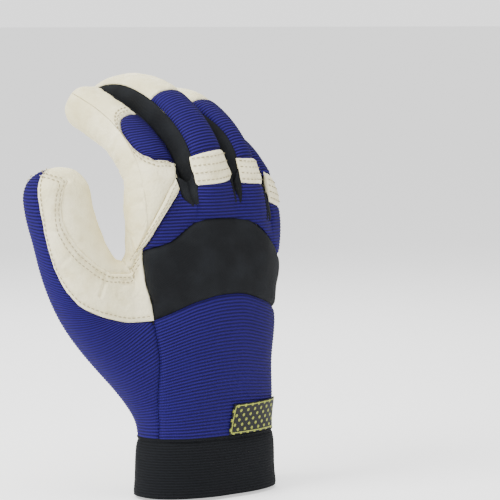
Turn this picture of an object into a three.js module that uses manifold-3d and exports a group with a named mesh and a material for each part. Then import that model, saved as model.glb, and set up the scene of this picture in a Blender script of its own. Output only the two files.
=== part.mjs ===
// A right-hand mechanic's glove, curled as on a relaxed hand, fingers up.
// Millimetres. Z points up to the fingers, -Y is the back of the hand, -X the thumb's side.
// The origin is the centre of the wrist opening.
//
// The glove is one hollow form, a hand tube with five digit tubes, cut along its seams into
// panels. Each panel is a wall of its own material, one seam gap away from its neighbours.
import * as THREE from "three";
import { ConvexGeometry } from "three/addons/geometries/ConvexGeometry.js";
import { mergeVertices } from "three/addons/utils/BufferGeometryUtils.js";
import Module from "manifold-3d";

// Driving dimensions
const handLength = 145;
const handWidth = 86;
const handDepth = 40;
const cuffHeight = 29;
const wall = 1.8;
const seamGap = 0.3;
const strapReach = 59;
const strapHeight = 28.4;
const strapThickness = 2;
const weltWidth = 3.2;
const weltHeight = 1.1;
const tagWidth = 31;
const tagHeight = 14.5;
const tagThickness = 0.9;
const indexLength = 84;
const indexWidth = 27;
const indexDepth = 22;
const middleLength = 94.6;
const middleWidth = 24.8;
const middleDepth = 25;
const ringLength = 84.8;
const ringWidth = 23.4;
const ringDepth = 25;
const littleLength = 66.8;
const littleWidth = 20.4;
const littleDepth = 21.8;
const thumbLength = 97.4;
const thumbWidth = 26;
const thumbDepth = 31.2;

// Shape of the cross sections: 1 is an ellipse, less is squarer
const roundness = 0.86;
const handSides = 20;
const digitSides = 10;
const hollowSides = 8;

// Sections of the hand tube. up is a share of handLength, side and wide of handWidth,
// back, palm and arch of handDepth.
const handSections = [
  { up: 0, side: 0, wide: 0.907, back: 0.55, palm: 0.53, arch: 0 },
  { up: 0.18, side: 0, wide: 0.885, back: 0.538, palm: 0.5, arch: 0 },
  { up: 0.225, side: 0, wide: 0.852, back: 0.5, palm: 0.475, arch: 0 },
  { up: 0.32, side: 0, wide: 0.89, back: 0.5, palm: 0.49, arch: 0.02 },
  { up: 0.41, side: 0, wide: 0.88, back: 0.498, palm: 0.5, arch: 0.04 },
  { up: 0.55, side: 0.01, wide: 0.95, back: 0.51, palm: 0.5, arch: 0.06 },
  { up: 0.63, side: 0.012, wide: 0.935, back: 0.485, palm: 0.5, arch: 0.075 },
  { up: 0.78, side: 0.022, wide: 1.0, back: 0.47, palm: 0.46, arch: 0.1 },
  { up: 0.91, side: 0.028, wide: 1.03, back: 0.43, palm: 0.41, arch: 0.125 },
  { up: 0.98, side: 0.026, wide: 1.0, back: 0.37, palm: 0.37, arch: 0.14 },
  { up: 1.035, side: 0.02, wide: 0.93, back: 0.28, palm: 0.26, arch: 0.14 },
];

// The digits. foot is the centre of the root, as shares of handWidth, handDepth and handLength;
// lean, tilt and twist turn the plane in which the digit curls, in degrees. In the sections,
// share runs along the length, bend is the angle curled so far, wide and deep scale the size.
const digits = {
  index: {
    length: indexLength, width: indexWidth, depth: indexDepth,
    foot: { side: -0.324, out: 0.012, up: 0.963 }, lean: -4.3, tilt: 0, twist: 5.5,
    sections: [
      { share: -0.4, bend: 2, wide: 0.86, deep: 0.84 },
      { share: 0, bend: 14.7, wide: 1.08, deep: 1 },
      { share: 0.3, bend: 41, wide: 1.05, deep: 1 },
      { share: 0.6, bend: 62.7, wide: 0.97, deep: 1 },
      { share: 0.85, bend: 70.4, wide: 0.92, deep: 1 },
      { share: 1, bend: 70.7, wide: 0.9, deep: 0.98 },
    ],
  },
  middle: {
    length: middleLength, width: middleWidth, depth: middleDepth,
    foot: { side: -0.049, out: -0.085, up: 1.019 }, lean: 5.1, tilt: 0, twist: 4,
    sections: [
      { share: -0.4, bend: -6, wide: 0.86, deep: 0.84 },
      { share: 0, bend: 2.5, wide: 1, deep: 1 },
      { share: 0.28, bend: 39.3, wide: 1, deep: 1 },
      { share: 0.55, bend: 66.8, wide: 1, deep: 1 },
      { share: 0.8, bend: 97.5, wide: 0.98, deep: 0.98 },
      { share: 1, bend: 120, wide: 0.95, deep: 0.95 },
    ],
  },
  ring: {
    length: ringLength, width: ringWidth, depth: ringDepth,
    foot: { side: 0.201, out: -0.062, up: 1.012 }, lean: 2.9, tilt: 0, twist: 6.5,
    sections: [
      { share: -0.4, bend: -2, wide: 0.86, deep: 0.84 },
      { share: 0, bend: 13.2, wide: 1, deep: 1 },
      { share: 0.28, bend: 40.6, wide: 1, deep: 1 },
      { share: 0.55, bend: 70.5, wide: 1, deep: 1 },
      { share: 0.8, bend: 103.4, wide: 0.98, deep: 0.98 },
      { share: 1, bend: 127.7, wide: 0.95, deep: 0.95 },
    ],
  },
  little: {
    length: littleLength, width: littleWidth, depth: littleDepth,
    foot: { side: 0.396, out: 0.095, up: 0.954 }, lean: 1.8, tilt: 0, twist: 2,
    sections: [
      { share: -0.45, bend: -4, wide: 0.86, deep: 0.84 },
      { share: 0, bend: 9.2, wide: 1, deep: 1 },
      { share: 0.28, bend: 45.1, wide: 1, deep: 1 },
      { share: 0.55, bend: 73.6, wide: 1, deep: 1 },
      { share: 0.8, bend: 97.5, wide: 0.98, deep: 0.98 },
      { share: 1, bend: 119.7, wide: 0.95, deep: 0.95 },
    ],
  },
  thumb: {
    length: thumbLength, width: thumbWidth, depth: thumbDepth,
    foot: { side: -0.455, out: 0.258, up: 0.502 }, lean: 26, tilt: 8.6, twist: -91.7,
    sections: [
      { share: -0.3, bend: -25, wide: 1.2, deep: 1.1 },
      { share: 0, bend: -22.3, wide: 1.25, deep: 1.15 },
      { share: 0.3, bend: -6.5, wide: 1.13, deep: 1.09 },
      { share: 0.6, bend: 13.9, wide: 1, deep: 1 },
      { share: 0.85, bend: 21.2, wide: 1, deep: 1 },
      { share: 1, bend: 38.6, wide: 1, deep: 1 },
    ],
  },
};

// How far a seam's cut goes under and over the surface. Near the roots of the digits, where
// tubes meet, it goes further. share is that of the form's length.
const handCuts = [
  { share: 0, deep: 9, high: 8 },
  { share: 0.7, deep: 9, high: 8 },
  { share: 0.9, deep: 13, high: 10 },
  { share: 1, deep: 13, high: 10 },
];
const digitCuts = [
  { share: 0, deep: 8, high: 10 },
  { share: 0.22, deep: 8, high: 2.5 },
  { share: 1, deep: 8, high: 2 },
];
const thumbCuts = [
  { share: 0.2, deep: 10, high: 7 },
  { share: 0.5, deep: 8, high: 4 },
  { share: 1, deep: 6, high: 2 },
];
const seamStep = 18;
const lap = 0.02;
const endLap = 0.4;
const plainShare = 0.75;
const crumb = 0.0005;

// How much of a digit's depth its rounded tip takes up
const tipReach = 0.5;

// Heights of the webs between neighbouring fingers, as shares of handLength, and how far up the
// fingers, as a share of their length, the walls between them keep them apart.
const webs = [
  { from: "index", to: "middle", web: 1.02, end: 1.1 },
  { from: "middle", to: "ring", web: 1.025, end: 1.1 },
  { from: "ring", to: "little", web: 0.975, end: 0.5 },
];

const leather = { color: 0xe9e2c8, roughness: 0.6, metalness: 0 };
const knit = { color: 0x1f2f9c, roughness: 0.85, metalness: 0 };
const neoprene = { color: 0x1c1e22, roughness: 0.9, metalness: 0 };
const elastic = { color: 0x15171c, roughness: 0.95, metalness: 0 };
const vinyl = { color: 0x0d0e11, roughness: 0.3, metalness: 0 };

const wasm = await Module();
wasm.setup();

const rad = THREE.MathUtils.degToRad;
const lerp = THREE.MathUtils.lerp;

// The columns of a table at a place between two of its rows.
function readTable(rows, key, at) {
  let i = 0;
  while (i < rows.length - 2 && at > rows[i + 1][key]) i += 1;
  const span = rows[i + 1][key] - rows[i][key];
  const t = THREE.MathUtils.clamp((at - rows[i][key]) / span, 0, 1);
  const row = {};
  for (const name of Object.keys(rows[i])) row[name] = lerp(rows[i][name], rows[i + 1][name], t);
  return row;
}

// Across and outwards parts of a section's outline at an angle, swollen towards a rounded box.
function outline(around) {
  const swell = (value) => Math.sign(value) * Math.abs(value) ** roundness;
  return { across: swell(Math.cos(rad(around))), out: swell(Math.sin(rad(around))) };
}

// The hand tube. Its point at a share of its length and an angle: 0 is the little finger's side,
// 90 the back, 180 the thumb's side and 270 the palm. inset moves it inwards.
const hand = {
  cuts: handCuts,
  point(share, around, inset = 0) {
    const row = readTable(handSections, "up", share);
    const { across, out } = outline(around);
    const depth = (out > 0 ? row.back : row.palm) * handDepth - inset;
    return new THREE.Vector3(
      row.side * handWidth + ((row.wide * handWidth) / 2 - inset) * across,
      row.arch * handDepth * across * across - depth * out,
      share * handLength,
    );
  },
};

// Gives a digit the axis of its root, the direction in which it curls and the one across both.
function aimDigit(digit) {
  const { lean, tilt, twist, foot } = digit;
  digit.root = new THREE.Vector3(foot.side * handWidth, foot.out * handDepth, foot.up * handLength);
  digit.axis = new THREE.Vector3(
    -Math.sin(rad(lean)) * Math.cos(rad(tilt)),
    Math.sin(rad(tilt)),
    Math.cos(rad(lean)) * Math.cos(rad(tilt)),
  );
  digit.curl = new THREE.Vector3(-Math.sin(rad(twist)), Math.cos(rad(twist)), 0);
  digit.curl.addScaledVector(digit.axis, -digit.curl.dot(digit.axis)).normalize();
  digit.across = new THREE.Vector3().crossVectors(digit.curl, digit.axis);
}

// Direction of a digit at a share of its length, and the direction of its back there.
function headingOf(digit, share) {
  const row = readTable(digit.sections, "share", share);
  const c = Math.cos(rad(row.bend));
  const s = Math.sin(rad(row.bend));
  const along = digit.axis.clone().multiplyScalar(c).addScaledVector(digit.curl, s);
  const back = digit.axis.clone().multiplyScalar(s).addScaledVector(digit.curl, -c);
  return { along, back, wide: (row.wide * digit.width) / 2, deep: (row.deep * digit.depth) / 2 };
}

// Centre and heading of a digit at a share of its length, by summing its small straight steps.
function spineOf(digit, share) {
  const steps = 24;
  const centre = digit.root.clone();
  for (let i = 0; i < steps; i += 1) {
    const { along } = headingOf(digit, (share * (i + 0.5)) / steps);
    centre.addScaledVector(along, (share * digit.length) / steps);
  }
  return { centre, ...headingOf(digit, share) };
}

// A digit's point, as for the hand tube, with 90 on its back. Past tipStart it is a round tip.
function digitPoint(digit, share, around, inset = 0) {
  const reach = digit.depth * tipReach;
  const tipStart = 1 - reach / digit.length;
  const spine = spineOf(digit, Math.min(share, tipStart));
  const turn = Math.max(0, (share - tipStart) / (1 - tipStart)) * 90;
  const tip = outline(turn);
  const { across, out } = outline(around);
  return spine.centre
    .clone()
    .addScaledVector(spine.along, (reach - inset) * tip.out)
    .addScaledVector(digit.across, (spine.wide - inset) * across * tip.across)
    .addScaledVector(spine.back, (spine.deep - inset) * out * tip.across);
}

for (const digit of Object.values(digits)) {
  aimDigit(digit);
  digit.point = (share, around, inset) => digitPoint(digit, share, around, inset);
  digit.cuts = digitCuts;
}
const { index, middle, ring, little, thumb } = digits;
thumb.cuts = thumbCuts;

// Places on the thumb and the hand between which the thumb's crotch is filled
const crotch = [
  { form: thumb, shares: [0.08, 0.37], angles: [-95, -70, -43, -15, 10] },
  { form: hand, shares: [0.6, 0.755], angles: [150, 163, 177, 190, 203] },
];

// A closed mesh as a solid that can be cut and joined, its corners closer than weld made one.
function solidOf(geometry, weld = 1e-4) {
  const bare = geometry.clone();
  bare.deleteAttribute("normal");
  bare.deleteAttribute("uv");
  const merged = mergeVertices(bare, weld);
  const corners = merged.index.array;
  const faces = [];
  for (let i = 0; i < corners.length; i += 3) {
    const [a, b, c] = corners.slice(i, i + 3);
    if (a !== b && b !== c && c !== a) faces.push(a, b, c);
  }
  return new wasm.Manifold(
    new wasm.Mesh({
      numProp: 3,
      vertProperties: new Float32Array(merged.attributes.position.array),
      triVerts: new Uint32Array(faces),
    }),
  );
}

// A solid through rings of as many points each, with a flat fan or a point over either end.
function loft(rings, tip) {
  const sides = rings[0].length;
  const points = rings.flat();
  const faces = [];
  for (let r = 0; r + 1 < rings.length; r += 1) {
    for (let k = 0; k < sides; k += 1) {
      const a = r * sides + k;
      const b = r * sides + ((k + 1) % sides);
      faces.push(a, b, b + sides, a, b + sides, a + sides);
    }
  }
  points.push(ringCentre(rings[0]), tip ?? ringCentre(rings[rings.length - 1]));
  const first = points.length - 2;
  const last = points.length - 1;
  const top = (rings.length - 1) * sides;
  for (let k = 0; k < sides; k += 1) {
    const next = (k + 1) % sides;
    faces.push(first, next, k, last, top + k, top + next);
  }
  const geometry = new THREE.BufferGeometry();
  const flat = points.flatMap((p) => [p.x, p.y, p.z]);
  geometry.setAttribute("position", new THREE.Float32BufferAttribute(flat, 3));
  geometry.setIndex(signedVolume(points, faces) < 0 ? faces.reverse() : faces);
  return solidOf(geometry);
}

// Volume inside a list of triangles, below zero where they face inwards.
function signedVolume(points, faces) {
  let sum = 0;
  for (let i = 0; i < faces.length; i += 3) {
    const [a, b, c] = [points[faces[i]], points[faces[i + 1]], points[faces[i + 2]]];
    sum += a.dot(new THREE.Vector3().crossVectors(b, c));
  }
  return sum / 6;
}

// One ring of points round a form.
function ringOf(form, share, inset, sides) {
  return Array.from({ length: sides }, (_, k) => form.point(share, (360 * k) / sides, inset));
}

// The hand tube as a solid, from the wrist to the roots of the fingers, lengthened below the
// wrist by drop so that a hollow opens there.
function handSolid(inset, drop) {
  const rings = handSections.map(({ up }) => ringOf(hand, up, inset, handSides));
  if (drop) rings.unshift(rings[0].map((p) => p.clone().setZ(-drop)));
  if (inset > 0) rings[rings.length - 1].forEach((p) => p.setZ(p.z - inset));
  return loft(rings);
}

// A digit as a solid, with its rounded tip.
function digitSolid(digit, inset) {
  const tipStart = 1 - (digit.depth * tipReach) / digit.length;
  const straight = [0, 0.2, 0.4, 0.6, 0.8, 1].map((t) => lerp(0, tipStart, t));
  const turned = [0.45, 0.8].map((t) => lerp(tipStart, 1, t));
  const shares = [digit.sections[0].share, ...straight, ...turned];
  const sides = inset > 0 ? hollowSides : digitSides;
  const rings = shares.map((share) => ringOf(digit, share, inset, sides));
  return loft(rings, digit.point(1, 0, inset));
}

// The sheet of air between two neighbouring fingers, halfway between them and above their web.
function partition({ from, to, web, end }, thickness, drop) {
  const a = digits[from];
  const b = digits[to];
  const start = (web * handLength - drop - a.root.z) / a.length;
  const stations = 6;
  const rings = [];
  for (let i = 0; i < stations; i += 1) {
    const near = spineOf(a, lerp(start, end, i / (stations - 1)));
    const far = nearestSpine(b, near.centre);
    const across = far.centre.clone().sub(near.centre);
    const middleShare = near.wide / (near.wide + far.wide);
    const centre = near.centre.clone().addScaledVector(across, middleShare);
    across.normalize();
    const tall = new THREE.Vector3().crossVectors(near.along, across).normalize();
    const half = a.depth * 0.8;
    rings.push(
      [[1, 1], [-1, 1], [-1, -1], [1, -1]].map(([side, height]) =>
        centre
          .clone()
          .addScaledVector(across, (side * thickness) / 2)
          .addScaledVector(tall, height * half),
      ),
    );
  }
  return wasm.Manifold.union(rings.slice(1).map((ring, i) => lappedLength(rings[i], ring)));
}

// A convex length of a ribbon between two of its rings, a little longer than their distance.
function lappedLength(from, to) {
  const ahead = ringCentre(to).sub(ringCentre(from)).setLength(lap);
  return solidOf(
    new ConvexGeometry([
      ...from.map((corner) => corner.clone().sub(ahead)),
      ...to.map((corner) => corner.clone().add(ahead)),
    ]),
  );
}

function ringCentre(ring) {
  return ring.reduce((sum, corner) => sum.add(corner), new THREE.Vector3()).divideScalar(ring.length);
}

// The place on a digit's spine that lies nearest to a point.
function nearestSpine(digit, point) {
  const tries = Array.from({ length: 45 }, (_, i) => spineOf(digit, -0.1 + i * 0.025));
  const distance = (spine) => spine.centre.distanceTo(point);
  return tries.reduce((best, spine) => (distance(spine) < distance(best) ? spine : best));
}

// The fold of the glove between thumb and hand, filled between places on both of them.
function crotchSolid(inset) {
  const spots = crotch.flatMap(({ form, shares, angles }) =>
    shares.flatMap((share) => angles.map((around) => form.point(share, around, inset))),
  );
  return solidOf(new ConvexGeometry(spots)).translate(0, 0, -inset);
}

// The glove's wall: the outer form less the hollow, with the fingers set apart above their webs.
function gloveShell() {
  const outerDigits = wasm.Manifold.union(Object.values(digits).map((d) => digitSolid(d, 0)));
  const innerDigits = wasm.Manifold.union(Object.values(digits).map((d) => digitSolid(d, wall)));
  const gaps = webs.map((w) => partition(w, seamGap, 0));
  const walls = webs.map((w) => partition(w, seamGap + 2 * wall, wall));
  const outer = handSolid(0, 0).add(outerDigits).add(crotchSolid(0)).subtract(wasm.Manifold.union(gaps));
  const inner = handSolid(wall, 2).add(innerDigits).add(crotchSolid(wall));
  const hollow = inner.subtract(wasm.Manifold.union(walls));
  return outer.subtract(hollow);
}

// Rows of a seam on one form: pairs of share along it and degrees round it.
function on(form, ...pairs) {
  return pairs.map(([share, around]) => ({ form, share, around }));
}

// Points along a seam, each with the direction out of the wall and how deep and high it is cut.
function traceSeam(rows) {
  const place = ({ form, share, around }) => {
    const point = form.point(share, around, 0);
    const out = form.point(share, around, -1).sub(point).normalize();
    return { point, out, ...readTable(form.cuts, "share", share) };
  };
  const trace = [place(rows[0])];
  for (let i = 0; i + 1 < rows.length; i += 1) {
    const [a, b] = [rows[i], rows[i + 1]];
    const [start, end] = [place(a), place(b)];
    const steps = Math.max(1, Math.ceil(start.point.distanceTo(end.point) / seamStep));
    for (let k = 1; k <= steps; k += 1) {
      const t = k / steps;
      const spot =
        a.form === b.form
          ? place({ form: a.form, share: lerp(a.share, b.share, t), around: lerp(a.around, b.around, t) })
          : mixOf(start, end, t);
      if (spot.point.distanceTo(trace[trace.length - 1].point) > seamGap) trace.push(spot);
    }
  }
  return trace;
}

// A place on a seam between one on a form and one on another.
function mixOf(start, end, t) {
  return {
    point: start.point.clone().lerp(end.point, t),
    out: start.out.clone().lerp(end.out, t).normalize(),
    deep: lerp(start.deep, end.deep, t),
    high: lerp(start.high, end.high, t),
  };
}

// A thin ribbon that stands on the wall along a seam and cuts through it, in short straight
// lengths that lap a little. It runs on past the seam's own ends.
function seamCut(rows) {
  const trace = traceSeam(rows);
  const last = trace.length - 1;
  const rings = trace.map(({ point, out, deep, high }, i) => {
    const before = trace[Math.max(0, i - 1)].point;
    const after = trace[Math.min(last, i + 1)].point;
    const side = new THREE.Vector3().crossVectors(after.clone().sub(before), out).normalize();
    return [[1, high], [-1, high], [-1, -deep], [1, -deep]].map(([flank, height]) =>
      point
        .clone()
        .addScaledVector(side, (flank * seamGap) / 2)
        .addScaledVector(out, height),
    );
  });
  const shift = (ring, from, to, by) => {
    const ahead = trace[to].point.clone().sub(trace[from].point).setLength(by);
    return ring.map((corner) => corner.clone().add(ahead));
  };
  rings[0] = shift(rings[0], 1, 0, endLap);
  rings[last] = shift(rings[last], last - 1, last, endLap);
  const lengths = rings.slice(1).map((ring, i) => {
    const plain = loft([rings[i], ring]);
    const whole = solidOf(new ConvexGeometry([...rings[i], ...ring]));
    return plain.volume() > plainShare * whole.volume() ? plain : lappedLength(rings[i], ring);
  });
  return wasm.Manifold.union(lengths);
}

// Seams, from where they start to where they meet another. F marks the points on the back of the
// hand, and P those in the palm, where the strips between two fingers end.
const indexMiddleF = on(hand, [0.974, 111]);
const middleRingF = on(hand, [0.979, 82]);
const ringLittleF = on(hand, [0.911, 51]);
const indexMiddleP = on(hand, [0.95, 249]);
const middleRingP = on(hand, [0.965, 279]);
const ringLittleP = on(hand, [0.915, 309]);
const seams = [
  // Thumb knit against the lower back, and that against the knuckle band
  on(hand, [0.19, 161], [0.33, 156], [0.47, 151], [0.592, 152]),
  on(hand, [0.592, 152], [0.64, 124], [0.67, 101], [0.672, 84], [0.648, 65], [0.604, 27], [0.59, -12]),
  // Left end of the knuckle band, and its upper edge
  on(hand, [0.592, 152], [0.71, 152], [0.82, 154]),
  on(hand, [0.82, 154], [0.865, 131], [0.902, 119], [0.922, 111], [0.928, 98], [0.925, 86], [0.914, 77],
    [0.877, 65], [0.826, 43], [0.79, 30], [0.76, -12]),
  // Both edges of the hem strip
  on(hand, [0.82, 154], [0.871, 138], [0.923, 129], [0.977, 124]).concat(on(index, [0.05, 62], [0.06, 45])),
  on(hand, [0.79, 172], [0.832, 157], [0.877, 144], [0.956, 130]).concat(
    on(index, [0.02, 98], [0.103, 61], [0.12, 42])),
  // Leather saddle against the thumb knit, then up the thumb's side to its tip
  on(hand, [0.592, 152]).concat(on(thumb, [0.136, -4], [0.214, 10], [0.3, 33], [0.365, 50], [0.436, 60],
    [0.536, 69], [0.675, 71], [0.786, 68], [0.9, 66], [1, 66])),
  // Double stitched edge of the saddle, from the thumb's tip over the crotch to the hem strip
  on(thumb, [0.93, 66], [0.92, 20], [0.896, -8], [0.868, 10], [0.821, 21], [0.74, 25], [0.668, 18],
    [0.585, 6], [0.506, -7], [0.425, -24], [0.374, -43]).concat(
    on(hand, [0.75, 177], [0.768, 178], [0.79, 172], [0.82, 154])),
  // Thumb knit against the palm, from the cuff up the thumb to its tip
  on(hand, [0.19, 250], [0.29, 249], [0.36, 248]).concat(on(thumb, [-0.26, 190], [-0.15, 194], [0, 200],
    [0.15, 195], [0.3, 187], [0.45, 180], [0.6, 172], [0.75, 160], [0.9, 130], [1, 100])),
  // Leather round the index finger against the palm
  on(hand, [0.79, 172]).concat(on(index, [-0.2, 203], [0, 205], [0.5, 205], [0.85, 208], [0.92, 250],
    [0.94, 290], [0.93, 345])),
  // Palm against the back of the hand along the little finger's side
  on(hand, [0.19, -12], [0.6, -12], [0.9, -12]).concat(
    on(little, [0, -15], [0.5, -15], [0.8, -20], [0.9, -40], [0.94, -65], [0.96, -90])),
  // Edges of the strips between the fingers: back edge and palm edge of each finger
  indexMiddleF.concat(on(index, [0.03, 55], [0.12, 57], [0.24, 58], [0.34, 61], [0.45, 68],
    [0.55, 79], [0.75, 84], [0.88, 70], [0.93, 45], [0.97, 10])),
  indexMiddleP.concat(on(index, [0.07, -58], [0.3, -56], [0.8, -50], [0.92, -30], [0.97, 10])),
  indexMiddleF.concat(on(middle, [0.0, 144], [0.25, 141], [0.42, 144], [0.6, 143], [0.85, 132],
    [0.92, 115], [0.93, 90], [0.92, 65], [0.85, 44], [0.5, 44], [0.1, 42], [0.0, 42]), middleRingF),
  indexMiddleP.concat(on(middle, [0.0, 242], [0.3, 246], [0.6, 251], [0.85, 240], [0.94, 250], [0.96, 270],
    [0.94, 290], [0.85, 310], [0.3, 310], [0.0, 308]), middleRingP),
  middleRingF.concat(on(ring, [0.017, 120], [0.1, 112], [0.18, 107], [0.26, 108], [0.33, 114],
    [0.43, 126], [0.6, 142], [0.85, 136], [0.92, 115], [0.93, 90], [0.92, 65], [0.85, 46], [0.5, 46],
    [0.1, 44], [-0.02, 50]), ringLittleF),
  middleRingP.concat(on(ring, [0.0, 230], [0.3, 230], [0.85, 228], [0.94, 250], [0.96, 270],
    [0.94, 290], [0.85, 306], [0.3, 300], [0.0, 298]), ringLittleP),
  ringLittleF.concat(on(little, [0.0, 101], [0.12, 92], [0.18, 86], [0.26, 90], [0.5, 112], [0.8, 130],
    [0.92, 150], [0.96, 200], [0.96, 270])),
  ringLittleP.concat(on(little, [0.0, 234], [0.3, 234], [0.8, 232], [0.92, 245], [0.96, 270])),
  // Over the tips of the middle and ring fingers, where two strips meet
  on(middle, [0.89, 90], [0.96, 90], [1, 90], [1, 270], [0.92, 270]),
  on(ring, [0.89, 90], [0.96, 90], [1, 90], [1, 270], [0.92, 270]),
  // Lower edge and tip side of the knit oval on the index finger
  on(index, [0.215, 42], [0.226, 62], [0.226, 106], [0.265, 131], [0.321, 145], [0.394, 150], [0.46, 148],
    [0.51, 134], [0.53, 121], [0.544, 96], [0.545, 76]),
  // Leather strips over the knuckles, and the leather caps on the fingertips
  on(middle, [0.03, 146], [0.025, 90], [0.03, 34]),
  on(middle, [0.155, 146], [0.155, 90], [0.16, 34]),
  on(ring, [0.02, 122], [0.005, 90], [0.0, 36]),
  on(ring, [0.138, 114], [0.127, 84], [0.13, 36]),
  on(little, [0.0, 103], [-0.03, 60], [-0.03, -22]),
  on(little, [0.168, 85], [0.145, 60], [0.15, 15], [0.15, -24]),
  on(middle, [0.505, 150], [0.5, 90], [0.49, 36]),
  on(ring, [0.52, 138], [0.515, 90], [0.505, 38]),
];

// A flat cut round the glove at the top of the cuff.
function cuffCut() {
  const slab = new THREE.BoxGeometry(3 * handWidth, 3 * handDepth, seamGap);
  slab.translate(0, 0, cuffHeight);
  return solidOf(slab);
}

const cuts = wasm.Manifold.union([cuffCut(), ...seams.map(seamCut)]);
const panels = gloveShell().subtract(cuts).decompose();

// The panel that fills most of a thin stick put through the wall at a place on a form.
function panelAt(form, share, around) {
  const top = form.point(share, around, 0);
  const foot = form.point(share, around, 2 * wall);
  const probe = new THREE.BoxGeometry(seamGap, seamGap, top.distanceTo(foot));
  probe.lookAt(foot.clone().sub(top));
  probe.translate(...top.add(foot).divideScalar(2).toArray());
  const stick = solidOf(probe);
  const held = (panel) => panel.intersect(stick).volume();
  return panels.reduce((best, panel) => (held(panel) > held(best) ? panel : best));
}

// A layer that lies on the hand tube between two heights over it, near the wrist.
function layer(low, high) {
  return handSolid(-high, 0).subtract(handSolid(-low, 2));
}

// A flat outline in X and Z, carried along Y from the hand's middle through one side of it.
function columnOf(shape, side) {
  const column = new THREE.ExtrudeGeometry(shape, { depth: 2 * handDepth, bevelEnabled: false, curveSegments: 8 });
  column.rotateX(Math.PI / 2);
  if (side > 0) column.translate(0, 2 * handDepth, 0);
  return solidOf(column);
}

// Outline of a strap that runs off to the little finger's side and has a round end. margin
// draws it in on all its edges.
function strapOutline(margin) {
  const radius = strapHeight / 2 - margin;
  const low = cuffHeight / 2 - radius;
  const endCentre = handWidth / 2 - strapReach + strapHeight / 2;
  const shape = new THREE.Shape();
  shape.moveTo(handWidth, low);
  shape.lineTo(handWidth, low + 2 * radius);
  shape.lineTo(endCentre, low + 2 * radius);
  shape.absarc(endCentre, low + radius, radius, Math.PI / 2, (3 * Math.PI) / 2, false);
  return shape;
}

function wristStrap() {
  return layer(seamGap, seamGap + strapThickness).intersect(columnOf(strapOutline(0), 1));
}

// The raised rim round the strap's edge.
function strapWelt() {
  const foot = 2 * seamGap + strapThickness;
  const rim = columnOf(strapOutline(0), 1).subtract(columnOf(strapOutline(weltWidth), 1));
  return layer(foot, foot + weltHeight).intersect(rim);
}

// The tag hangs from the cuff's seam on the back, near the little finger's side.
function wovenTag() {
  const left = -0.03 * handWidth;
  const low = cuffHeight + seamGap / 2;
  const slant = 0.12 * tagWidth;
  const shape = new THREE.Shape();
  shape.moveTo(left, low);
  shape.lineTo(left + tagWidth, low);
  shape.lineTo(left + tagWidth + slant, low + tagHeight);
  shape.lineTo(left + slant, low + tagHeight);
  return layer(seamGap, seamGap + tagThickness).intersect(columnOf(shape, -1));
}

const pieces = [
  ["cuff_band", panelAt(hand, 0.1, 90), elastic],
  ["palm_leather", panelAt(hand, 0.5, 280), leather],
  ["index_wrap_leather", panelAt(index, 0.3, 170), leather],
  ["hem_strip", panelAt(hand, 0.9, 136), leather],
  ["thumb_saddle", panelAt(thumb, 0.55, 40), leather],
  ["thumb_knit", panelAt(thumb, 0.6, 110), knit],
  ["hand_back_knit_lower", panelAt(hand, 0.4, 90), knit],
  ["knuckle_band", panelAt(hand, 0.78, 100), neoprene],
  ["hand_back_knit_upper", panelAt(ring, -0.08, 90), knit],
  ["index_back_knit", panelAt(index, 0.38, 100), knit],
  ["middle_back_knit", panelAt(middle, 0.35, 90), knit],
  ["ring_back_knit", panelAt(ring, 0.35, 80), knit],
  ["little_back_knit", panelAt(little, 0.5, 60), knit],
  ["middle_tip_cap", panelAt(middle, 0.7, 90), leather],
  ["ring_tip_cap", panelAt(ring, 0.7, 90), leather],
  ["knuckle_strip_middle", panelAt(middle, 0.09, 90), leather],
  ["knuckle_strip_ring", panelAt(ring, 0.07, 80), leather],
  ["knuckle_strip_little", panelAt(little, 0.07, 70), leather],
  ["fourchette_index_middle", panelAt(middle, 0.6, 170), neoprene],
  ["fourchette_middle_ring", panelAt(ring, 0.6, 180), neoprene],
  ["fourchette_ring_little", panelAt(little, 0.6, 180), neoprene],
  ["wrist_strap", wristStrap(), vinyl],
  ["strap_welt", strapWelt(), vinyl],
  ["woven_tag", wovenTag(), neoprene],
];

// A solid's surface.
function surfaceOf(solid) {
  const { vertProperties, triVerts } = solid.getMesh();
  const geometry = new THREE.BufferGeometry();
  geometry.setAttribute("position", new THREE.BufferAttribute(vertProperties, 3));
  geometry.setIndex(new THREE.BufferAttribute(triVerts, 1));
  return geometry;
}

// A solid as a mesh with its own material, without the crumbs that its cuts left on it.
function meshOf([name, solid, finish]) {
  const bodies = solidOf(surfaceOf(solid), crumb).decompose();
  const body = bodies.reduce((best, other) => (other.volume() > best.volume() ? other : best));
  const geometry = surfaceOf(body);
  geometry.computeVertexNormals();
  const mesh = new THREE.Mesh(geometry, new THREE.MeshStandardMaterial(finish));
  mesh.name = name;
  return mesh;
}

const glove = new THREE.Group();
glove.name = "mechanic_glove";
glove.add(...pieces.map(meshOf));

export default glove;
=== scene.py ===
# %% [markdown]
# # A mechanic's glove, sewn from panels
# The glove is built the way it is sewn: a smooth hand form first, then flat-cut panels laid over
# it, then stitches, cuff, closure tab and label. Lengths are worked out in millimetres.

# %% Set up
import math
import bmesh
import bpy
import numpy as np
from mathutils import Matrix, Vector


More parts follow.
